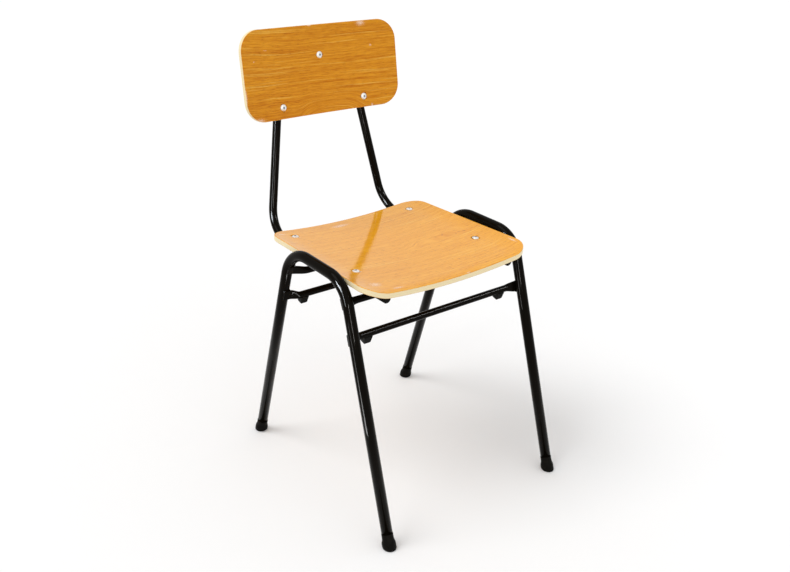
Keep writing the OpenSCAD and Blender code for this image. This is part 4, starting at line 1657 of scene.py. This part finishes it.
@dataclass
class BackPanel:
    """The plywood backrest: one curve across the sitter's back."""

    plan: Plan
    wood: bpy.types.Material

    def _face(self, extra: float) -> Surface:
        """The backrest's front for extra 0, or its rear for extra its thickness."""
        plan = self.plan
        axis = plan.tube_face + plan.back_curve_r + plan.back_t
        matrix = np.array(plan.hoop_plane)

        def surface(u: np.ndarray, v: np.ndarray) -> np.ndarray:
            """The points of this face at places in the sheet."""
            y = -axis + np.sqrt((plan.back_curve_r + extra) ** 2 - u ** 2)
            return carried(matrix, u, y, plan.back_mid_t - plan.back_h / 2 + v)

        return surface

    def bolt_places(self) -> list[tuple[float, float]]:
        """The bolts' places in the hoop's plane, across it and up its lean."""
        plan = self.plan
        return [(0.0, plan.hoop_len), (-plan.low_bolt_x, plan.low_bolt_t), (plan.low_bolt_x, plan.low_bolt_t)]

    def head_out(self, x: float) -> float:
        """From the hoop's plane out to where a bolt's head bears."""
        plan = self.plan
        sag = plan.back_curve_r - math.sqrt(plan.back_curve_r ** 2 - x ** 2)
        return plan.tube_face + plan.back_t + sag - plan.head_sink

    def build(self) -> None:
        """Makes the backrest and hands it over."""
        plan = self.plan
        low = plan.back_mid_t - plan.back_h / 2
        seats = [BoltSeat.at(plan, x, t - low) for x, t in self.bolt_places()]
        matrix = np.array(plan.hoop_plane)

        def floor(seat: BoltSeat, flat: np.ndarray) -> np.ndarray:
            """Points on the floor of a bolt's recess."""
            return carried(matrix, flat[:, 0], np.full(len(flat), -self.head_out(seat.u)), flat[:, 1] + low)

        outline = Outline(plan.back_w, plan.back_w, plan.back_h, plan.back_corner_r)
        builder = SheetBuilder(outline, self._face(0.0), self._face(plan.back_t), floor, plan.back_t, seats)
        piece = add_piece("backrest_panel", builder.build("backrest_panel"), self.wood)
        hand_over(piece, Slot.BACK, "backrest_panel")


# Fasteners


@dataclass
class Fasteners:
    """The bolts, nuts and spacers of the seat and the backrest.

    The shoulder and the mouth of a key socket are in widths of the key, and the waist of a nut is
    in widths of the nut. The thread's form is in pairs: shares of its pitch and of its root.
    """

    plan: Plan
    seat: SeatPanel
    back: BackPanel
    zinc: bpy.types.Material
    plastic: bpy.types.Material
    around: int = 48
    head_soft: float = 0.35 * MM
    rim_soft: float = 0.1 * MM
    dome_in: float = 0.2 * MM
    dome_steps: int = 8
    shoulder: float = 0.72
    mouth: float = 0.55
    mouth_wider: float = 0.25 * MM
    mouth_depth: float = 0.2 * MM
    key_point: float = 0.5 * MM
    pitch: float = 1.0 * MM
    root: float = 0.45 * MM
    thread_form: tuple = ((0.0, 0.0), (0.15, 0.0), (0.5, 1.0), (0.65, 1.0))
    into_head: float = 8 * MM
    nut_fit: float = 0.1 * MM
    flange_in: float = 0.3 * MM
    flange_soft: float = 0.35 * MM
    flange_draft: float = 0.2 * MM
    waist: float = 0.56
    corner_rise: float = 0.9 * MM
    nut_chamfer: float = 0.45 * MM
    end_in: float = 0.4 * MM
    recipe: Recipe = field(default_factory=fastener_recipe)

    def _head(self) -> bpy.types.Mesh:
        """A domed head with a key socket, its bearing face on Z = 0."""
        plan = self.plan
        radius = plan.head_d / 2
        dome_h = plan.head_h - plan.head_rim
        dome_r = (radius ** 2 + dome_h ** 2) / (2 * dome_h)

        def dome(r: float) -> float:
            """The height of the dome at a radius."""
            return plan.head_h - dome_r + math.sqrt(dome_r ** 2 - r ** 2)

        profile = [(0.0, 0.0), (radius - self.head_soft, 0.0), (radius, self.head_soft)]
        profile.append((radius, plan.head_rim - self.rim_soft))
        for r in np.linspace(radius - self.dome_in, plan.key_af * self.shoulder, self.dome_steps + 1):
            profile.append((float(r), dome(float(r))))
        wall = hexagon(plan.key_af)
        mouth_h = dome(plan.key_af * self.mouth)
        bottom = plan.head_h - plan.key_depth
        profile += [(hexagon(plan.key_af + self.mouth_wider), mouth_h), (wall, mouth_h - self.mouth_depth)]
        profile += [(wall, bottom), (0.0, bottom - self.key_point)]
        mesh = spun("bolt_head", profile, self.around)
        count = len(mesh.vertices)
        # The socket is the two rings of its wall and the one point of its bottom.
        first = count - 2 * self.around - 1
        # in_key marks the socket, which the zinc finish darkens with a painted shade.
        set_attribute(mesh, "in_key", "FLOAT", [float(i >= first) for i in range(count)])
        return mesh

    def _shank(self) -> bpy.types.Mesh:
        """A threaded shank from its tip up to inside the head, Z = 0 on the centre of the tube."""
        plan = self.plan
        radius = plan.bolt_d / 2
        top = plan.tube_face + self.into_head
        profile = [(0.0, -plan.bolt_end), (radius - plan.bolt_tip, -plan.bolt_end)]
        z = -plan.bolt_end + plan.bolt_tip
        while z < -plan.tube_face:
            profile += [(radius - self.root * depth, z + self.pitch * at) for at, depth in self.thread_form]
            z += self.pitch
        profile += [(radius, z), (radius, top), (0.0, top)]
        return spun("bolt_shank", profile, self.around)

    def _nut(self) -> bpy.types.Mesh:
        """A flanged nut with chamfered corners, Z = 0 on the centre of the tube."""
        plan = self.plan
        face = -plan.tube_face
        flange = face - plan.flange_h
        end = face - plan.nut_h
        rim = plan.flange_d / 2
        bore = plan.bolt_d / 2 + self.nut_fit
        across = plan.nut_af
        waist = hexagon(across, across * self.waist)
        return spun("nut", [
            (bore, face), (rim - self.flange_in, face), (rim, face - self.flange_soft),
            (rim - self.flange_draft, flange), (waist, flange - self.flange_soft),
            (hexagon(across), flange - self.corner_rise), (hexagon(across), end + self.nut_chamfer),
            (hexagon(across - self.end_in, across / 2), end), (bore + self.nut_chamfer, end),
            (bore, end + self.nut_chamfer),
        ], self.around, ring_closed=True)

    def _grow(
        self,
        name: str,
        points: Sequence[Vector],
        axis: Vector,
        reach: Sequence[float],
        head: Optional[bpy.types.Object],
        shank: bpy.types.Object,
    ) -> None:
        """Sets fasteners on points and hands them over in place of the node of that name."""
        base = line_mesh(name, [[p] for p in points])
        set_attribute(base, "axis", "FLOAT_VECTOR", [tuple(axis)] * len(points))
        set_attribute(base, "reach", "FLOAT", reach)
        piece = self.recipe.grow(name, base, {"Head": head, "Shank": shank, "Material": self.zinc})
        finish_mesh(piece.data)
        hand_over(piece, Slot.ZINC, name)

    def _spacer(self) -> bpy.types.Mesh:
        """A spacer that fills the wedge between the right upright and the backrest, in the hoop's plane."""
        plan = self.plan
        outer = plan.back_curve_r + plan.back_t
        centre = plan.tube_face + outer - math.sqrt(outer ** 2 - plan.low_bolt_x ** 2)
        slope = math.tan(math.asin(plan.low_bolt_x / outer))
        lean = math.tan(plan.upright_tilt)

        def ring(radius: float, front: bool) -> list[Point]:
            """A ring on the panel in front, or on the round of the tube."""
            spots = []
            for x, z, _ in ring_at(radius, 0.0, self.around):
                off = (x + z * lean) * math.cos(plan.upright_tilt)
                on_tube = -math.sqrt(plan.tube_face ** 2 - off ** 2)
                on_panel = plan.bear_gap - centre - x * slope
                spots.append((x, on_panel if front else on_tube, z))
            return spots

        outer_r, inner_r = plan.spacer_d / 2, plan.bolt_d / 2 + plan.bolt_fit
        rings = [ring(outer_r, False), ring(outer_r, True), ring(inner_r, True), ring(inner_r, False)]
        mesh = loft("spacer", rings, ring_closed=True)
        return placed(mesh, plan.hoop_plane @ move(plan.low_bolt_x, 0.0, plan.low_bolt_t))

    def build(self) -> None:
        """Makes every fastener."""
        plan = self.plan
        head, shank, nut = (
            bpy.data.objects.new(mesh.name, mesh) for mesh in (self._head(), self._shank(), self._nut())
        )
        seat_spots = [Vector((x, y, plan.seat_rail_h)) for x, y in self.seat.bolt_places()]
        back_spots = [Vector((x, 0.0, t)) for x, t in self.back.bolt_places()]
        for panel, plane, out, spots, head_place in (
            ("seat", plan.seat_plane, (0.0, 0.0, 1.0), seat_spots, self.seat.head_height),
            ("back", plan.hoop_plane, (0.0, -1.0, 0.0), back_spots, self.back.head_out),
        ):
            points = [plane @ spot for spot in spots]
            axis = plane.to_3x3() @ Vector(out)
            reach = [head_place(spot.x) for spot in spots]
            self._grow(f"{panel}_bolts", points, axis, reach, head, shank)
            self._grow(f"{panel}_nuts", points, axis, reach, None, nut)
        for spare in (head, shank, nut):
            bpy.data.objects.remove(spare)
        right = self._spacer()
        left = placed(right.copy(), on_side(Side.LEFT))
        both = bmesh.new()
        both.from_mesh(right)
        both.from_mesh(left)
        both.to_mesh(right)
        both.free()
        finish_mesh(right)
        hand_over(add_piece("back_spacers", right, self.plastic), Slot.PLASTIC, "back_spacers")


# Plastic parts


@dataclass
class Mouldings:
    """The moulded plastic parts: foot caps, stacking bumpers and the plugs of the seat rails."""

    plan: Plan
    plastic: bpy.types.Material
    around: int = 64
    foot_round: float = 3.0 * MM
    ridge: float = 0.35 * MM
    lip_share: float = 0.5
    lip_soft: float = 0.3 * MM
    lip_break: float = 0.1 * MM
    hollow_share: float = 0.55
    hollow_depth: float = 0.5 * MM
    hollow_slope: float = 0.8 * MM
    sole_in: float = 0.6 * MM
    flare_below: float = 4 * MM
    flare_above: float = 7 * MM
    flare_steps: int = 11
    round_steps: int = 5
    soft: float = 1.3 * MM
    soft_steps: int = 3
    soft_angle: float = 50.0
    block_corner: float = 3 * MM
    block_break: float = 0.9 * MM
    saddle_steps: int = 14
    block_steps: int = 4
    stem_taper: float = 0.6 * MM
    stem_lead: float = 0.8 * MM
    plug_break: float = 0.2 * MM
    plug_round: float = 1.4 * MM
    plug_flat: float = 0.4

    def foot_cap(self, side: Side, end: End) -> None:
        """A sleeve on the end of a leg that widens to a foot, cut off flat where it stands on the floor."""
        plan = self.plan
        lean = plan.rear_lean if end.behind else -plan.front_lean
        slope = -math.tan(math.radians(lean))
        bore = plan.leg_od / 2 + plan.slide_fit
        lip = bore + plan.cap_lip * self.lip_share

        def cut_ring(radius: float, lift: float) -> list[Point]:
            """A ring cut level with the floor, or a pole."""
            return [(x, y, y * slope + z) for x, y, z in ring_at(radius, lift, self.around)]

        hollow = plan.cap_r * self.hollow_share
        rings = [cut_ring(0.0, self.hollow_depth), cut_ring(hollow - self.hollow_slope, self.hollow_depth)]
        rings += [cut_ring(hollow, 0.0), cut_ring(plan.cap_r - self.foot_round - self.sole_in, 0.0)]
        for a in np.linspace(0.0, math.pi / 2, self.round_steps + 1):
            radius = plan.cap_r - self.foot_round * (1 - math.sin(a))
            rings.append(cut_ring(radius, self.foot_round * (1 - math.cos(a))))
        low, high = plan.cap_foot_h - self.flare_below, plan.cap_foot_h + self.flare_above
        for t in np.linspace(0.0, 1.0, self.flare_steps + 1):
            height = low + (high - low) * t
            step = self.ridge if height < plan.cap_foot_h else 0.0
            flare = (plan.cap_r - lip - self.ridge) * (1 - soft_step(t))
            rings.append(ring_at(lip + flare + step, height, self.around))
        rings += [ring_at(r, z, self.around) for r, z in (
            (lip, plan.cap_h - self.lip_soft), (lip - self.lip_break, plan.cap_h - self.lip_break),
            (bore + self.lip_break, plan.cap_h), (bore, plan.cap_h - self.lip_break),
            (bore, plan.cap_base), (0.0, plan.cap_base),
        )]
        y = plan.plane_half if end.behind else -plan.plane_half
        matrix = on_side(side) @ plan.leg_plane @ move(0.0, y, 0.0) @ turn_about("X", lean)
        name = f"foot_cap_{end.value}_{side.word}"
        piece = add_piece(name, placed(loft(name, rings), matrix), self.plastic)
        hand_over(piece, Slot.PLASTIC, name)

    def _bumper_mesh(self, name: str) -> bpy.types.Mesh:
        """A rounded block with a saddle for its rail, narrower at its underside."""
        plan = self.plan
        saddle = plan.rail_od / 2 + plan.slide_fit
        half_d, low = plan.bumper_d / 2, -plan.bumper_drop
        lip = -plan.bumper_wrap
        start = math.asin(min(-lip / saddle, 1.0))
        turns = np.linspace(start, math.pi - start, self.saddle_steps + 1)
        arc = [(-saddle * math.cos(a), -saddle * math.sin(a)) for a in turns]
        outer = [(half_d, z) for z in np.linspace(lip, low + self.block_corner, self.block_steps + 1)]
        outer.append((half_d - self.block_break, low + self.block_break))
        outer.append((half_d - self.block_corner, low))
        outer += [(-y, z) for y, z in reversed(outer)]
        profile = arc + outer

        def half_width(z: float) -> float:
            """Half the block's width along its rail, at a height."""
            share = min(max((lip - z) / (lip - low), 0.0), 1.0)
            return (plan.bumper_w * (1 - share) + plan.bumper_low_w * share) / 2

        stations = np.linspace(-1.0, 1.0, self.block_steps + 1)
        return loft(name, [[(k * half_width(z), y, z) for y, z in profile] for k in stations])

    def bumper(self, side: Side, end: End) -> None:
        """A stacking bumper that saddles its lower rail from below."""
        plan = self.plan
        y, _ = plan.rail_place(plan.lower_rail_h, end)
        x = plan.leg_x(y) - (plan.rear_bumper_in if end.behind else plan.front_bumper_in)
        matrix = on_side(side) @ plan.home @ move(x, y, plan.lower_rail_h) @ turn_about("X", plan.bumper_lean)
        name = f"bumper_{end.value}_{side.word}"
        piece = add_piece(name, placed(self._bumper_mesh(name), matrix), self.plastic)
        bevel = piece.modifiers.new("soft_edges", "BEVEL")
        bevel.width = self.soft
        bevel.segments = self.soft_steps
        bevel.limit_method = "ANGLE"
        bevel.angle_limit = math.radians(self.soft_angle)
        hand_over(piece, Slot.PLASTIC, name)

    def rail_plug(self, side: Side) -> None:
        """A plug in the front end of a seat rail."""
        plan = self.plan
        stem, head = plan.hoop_od / 2 - plan.hoop_wall - plan.slide_fit, plan.hoop_od / 2
        profile = [(0.0, -plan.plug_stem), (stem - self.stem_taper, -plan.plug_stem)]
        profile += [(stem, self.stem_lead - plan.plug_stem), (stem, plan.bear_gap)]
        profile += [(head - self.plug_break, plan.bear_gap), (head, plan.bear_gap + self.plug_break)]
        for a in np.linspace(0.0, math.pi / 2, self.round_steps + 1):
            z = plan.plug_head_t - self.plug_round * (1 - math.sin(a))
            profile.append((head - self.plug_round * (1 - math.cos(a)), z))
        profile += [(head * self.plug_flat, plan.plug_head_t), (0.0, plan.plug_head_t)]
        mouth = move(plan.seat_rail_front_w / 2, plan.seat_rail_front_y, plan.seat_rail_h)
        along = Matrix.Rotation(plan.splay, 4, "Z") @ turn_about("X", 90.0)
        matrix = on_side(side) @ plan.seat_plane @ mouth @ along
        name = f"rail_plug_{side.word}"
        piece = add_piece(name, placed(spun(name, profile, self.around), matrix), self.plastic)
        hand_over(piece, Slot.PLASTIC, name)

    def build(self) -> None:
        """Makes every plastic part."""
        for side in Side:
            for end in End:
                self.foot_cap(side, end)
                self.bumper(side, end)
            self.rail_plug(side)


# The studio


def add_lamp(data: bpy.types.Light, away: Vector) -> bpy.types.Object:
    """Links a lamp that stands that way from the chair and shines back at it."""
    lamp = bpy.data.objects.new(data.name, data)
    lamp.rotation_euler = away.to_track_quat("Z", "Y").to_euler()
    bpy.context.scene.collection.objects.link(lamp)
    return lamp


@dataclass(frozen=True)
class SoftLamp:
    """A broad, soft lamp far away: where it stands, its strength and its spread in degrees."""

    name: str
    stands: Point
    energy: float
    spread: float

    def place(self) -> None:
        """Adds the lamp to the scene."""
        data = bpy.data.lights.new(self.name, "SUN")
        data.energy = self.energy
        data.angle = math.radians(self.spread)
        add_lamp(data, Vector(self.stands))


@dataclass(frozen=True)
class Strip:
    """A long lamp that gives the paint its highlights, with its place, sizes, brightness and colour."""

    name: str
    stands: Point
    width: float
    height: float
    glow: float
    colour: Colour
    distance: float = 3.0
    centre: Point = (0.0, -0.05, 0.35)

    def place(self, lit: bpy.types.Collection) -> None:
        """Adds the strip, turned to the chair, which it lights only on the pieces of one collection."""
        data = bpy.data.lights.new(self.name, "AREA")
        data.shape = "RECTANGLE"
        data.size = self.width
        data.size_y = self.height
        data.energy = self.glow * self.width * self.height * math.pi
        data.color = self.colour
        away = Vector(self.stands).normalized()
        lamp = add_lamp(data, away)
        lamp.location = Vector(self.centre) + away * self.distance
        lamp.visible_diffuse = False
        lamp.visible_camera = False
        lamp.light_linking.receiver_collection = lit


@dataclass
class Studio:
    """A plain pale floor, soft light and a camera at the photograph's viewing angle."""

    azimuth: float = -39.2
    elevation: float = 25.2
    roll: float = 2.5
    target: Point = (-0.0310, -0.04746, 0.3744)
    distance: float = 1.7298
    focal_px: float = 937.2
    frame_px: float = 790.0
    sensor: float = 36.0
    farthest: float = 100.0
    floor_reach: float = 40.0
    sky: float = 0.71
    floor_diffuse: float = 0.78
    floor_seen: float = 0.985
    lamps: tuple = (
        SoftLamp("key", (-0.62, 0.30, 1.0), 1.05, 34.0),
        SoftLamp("fill", (-0.35, -1.0, 0.55), 0.36, 70.0),
    )
    strips: tuple = (
        Strip("left_strip", (-0.944, -0.113, 0.30), 0.36, 2.4, 130.0, (0.90, 0.95, 1.0)),
        Strip("window", (-0.92, 0.12, 0.40), 0.95, 0.80, 330.0, (0.86, 0.93, 1.0)),
        Strip("right_strip", (0.60, -0.526, 0.629), 1.8, 0.20, 110.0, (1.0, 1.0, 1.0)),
        Strip("front_strip", (-0.52, -0.853, 0.06), 0.26, 1.4, 90.0, (1.0, 0.98, 0.94)),
        Strip(
            "low_strip", (0.0, 0.0, -1.0), 1.30, 0.09, 50.0, (1.0, 1.0, 1.0),
            distance=-0.005, centre=(-0.98, -0.21, 0.0),
        ),
    )

    def camera(self) -> None:
        """Sets the camera."""
        a, e, r = (math.radians(v) for v in (self.azimuth, self.elevation, self.roll))
        back = Vector((math.sin(a) * math.cos(e), -math.cos(a) * math.cos(e), math.sin(e)))
        level = Vector((0.0, 0.0, 1.0)).cross(back).normalized()
        upright = back.cross(level)
        right = level * math.cos(r) + upright * math.sin(r)
        up = upright * math.cos(r) - level * math.sin(r)
        data = bpy.data.cameras.new("camera")
        data.sensor_width = self.sensor
        data.lens = self.focal_px / self.frame_px * self.sensor
        data.clip_end = self.farthest
        camera = bpy.data.objects.new("camera", data)
        spot = Vector(self.target) + back * self.distance
        camera.matrix_world = Matrix((
            (right.x, up.x, back.x, spot.x), (right.y, up.y, back.y, spot.y),
            (right.z, up.z, back.z, spot.z), (0.0, 0.0, 0.0, 1.0),
        ))
        bpy.context.scene.collection.objects.link(camera)
        bpy.context.scene.camera = camera

    @staticmethod
    def _seen_by(graph: Graph, *kinds: str) -> Sock:
        """1 for rays of these kinds, and 0 for all others."""
        path = graph.node("ShaderNodeLightPath")
        first, *others = (Sock(graph, path.outputs[f"Is {kind} Ray"]) for kind in kinds)
        for other in others:
            first = first.at_least(other)
        return first

    def world(self) -> None:
        """An even white sky for the light, and a white surround for camera, mirror and glass."""
        world = bpy.data.worlds.new("soft_white")
        bpy.context.scene.world = world
        world.use_nodes = True
        graph = Graph(world.node_tree)
        strength = self._seen_by(graph, "Camera", "Glossy", "Transmission") * (1.0 - self.sky) + self.sky
        sockets = {"Color": (1.0, 1.0, 1.0, 1.0), "Strength": strength}
        shade = graph.value("ShaderNodeBackground", 0, None, sockets)
        graph.node("ShaderNodeOutputWorld", sockets={"Surface": shade})

    def floor(self) -> None:
        """A pale floor that keeps the chair's shadow."""
        reach = self.floor_reach
        corners = [(-reach, -reach, 0.0), (reach, -reach, 0.0), (reach, reach, 0.0), (-reach, reach, 0.0)]
        mesh = bpy.data.meshes.new("floor")
        mesh.from_pydata(corners, [], [(0, 1, 2, 3)])
        material, graph = new_material("pale_floor")
        seen = self._seen_by(graph, "Camera", "Glossy")
        colour = graph.mix(seen, (self.floor_diffuse,) * 3, (self.floor_seen,) * 3)
        shade = graph.value("ShaderNodeBsdfDiffuse", 0, None, {"Color": colour})
        graph.node("ShaderNodeOutputMaterial", sockets={"Surface": shade})
        add_piece("floor", mesh, material)

    def build(self) -> None:
        """Sets up the whole studio."""
        bpy.context.scene.view_settings.view_transform = "Standard"
        self.camera()
        self.world()
        self.floor()
        for lamp in self.lamps:
            lamp.place()

    def shine_on(self, material: bpy.types.Material) -> None:
        """Places the strips, which light only the pieces of one material."""
        lit = bpy.data.collections.new("strip_lit")
        for piece in bpy.context.scene.objects:
            if piece.type == "MESH" and piece.active_material == material:
                lit.objects.link(piece)
        for strip in self.strips:
            strip.place(lit)


def finishes() -> dict[Slot, bpy.types.Material]:
    """One material for each slot of the record."""
    seat = Ply(
        "seat_veneer", seed=11.0, contrast=1.2, gloss=0.40, haze=0.8,
        arch=Arch(u=0.085, v=0.168, half_u=0.085, half_v=0.032, rise=0.020),
        light=(0.93, 0.435, 0.030), dark=(0.76, 0.285, 0.004), pale=(0.97, 0.55, 0.08),
        scuffs=(
            Scuff(-0.026, 0.314, 0.040, 0.012), Scuff(-0.149, 0.038, 0.026, 0.019),
            Scuff(0.030, 0.002, 0.010, 0.003), Scuff(0.178, 0.045, 0.005, 0.022),
            Scuff(-0.158, 0.318, 0.016, 0.008), Scuff(-0.120, 0.012, 0.024, 0.006),
        ),
    )
    back = Ply(
        "back_veneer", seed=31.0, contrast=1.0, gloss=0.10,
        arch=Arch(u=0.018, v=0.000, half_u=0.080, half_v=0.048, rise=0.030),
        light=(0.84, 0.370, 0.022), dark=(0.53, 0.148, 0.001), pale=(0.93, 0.57, 0.10),
        scuffs=(
            Scuff(0.099, 0.163, 0.020, 0.011), Scuff(-0.018, 0.167, 0.012, 0.004),
            Scuff(0.118, 0.119, 0.005, 0.004), Scuff(-0.176, 0.050, 0.005, 0.028),
            Scuff(-0.152, 0.003, 0.026, 0.010), Scuff(0.112, 0.002, 0.005, 0.008),
            Scuff(-0.122, 0.129, 0.009, 0.002, 0.8), Scuff(-0.150, 0.111, 0.005, 0.003, 0.8),
        ),
    )
    return {
        Slot.PAINT: Paint().build(), Slot.PLASTIC: Plastic().build(), Slot.ZINC: Zinc().build(),
        Slot.SEAT: seat.build(), Slot.BACK: back.build(),
    }


def main() -> None:
    logging.basicConfig(level=logging.INFO, format="%(name)s: %(message)s")
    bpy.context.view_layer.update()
    plan = Plan()
    made = finishes()
    studio = Studio()
    studio.build()
    TubeFrame(plan, made[Slot.PAINT]).build()
    seat = SeatPanel(plan, made[Slot.SEAT])
    back = BackPanel(plan, made[Slot.BACK])
    seat.build()
    back.build()
    Fasteners(plan, seat, back, made[Slot.ZINC], made[Slot.PLASTIC]).build()
    Mouldings(plan, made[Slot.PLASTIC]).build()
    studio.shine_on(made[Slot.PAINT])


if __name__ == "__main__":
    main()
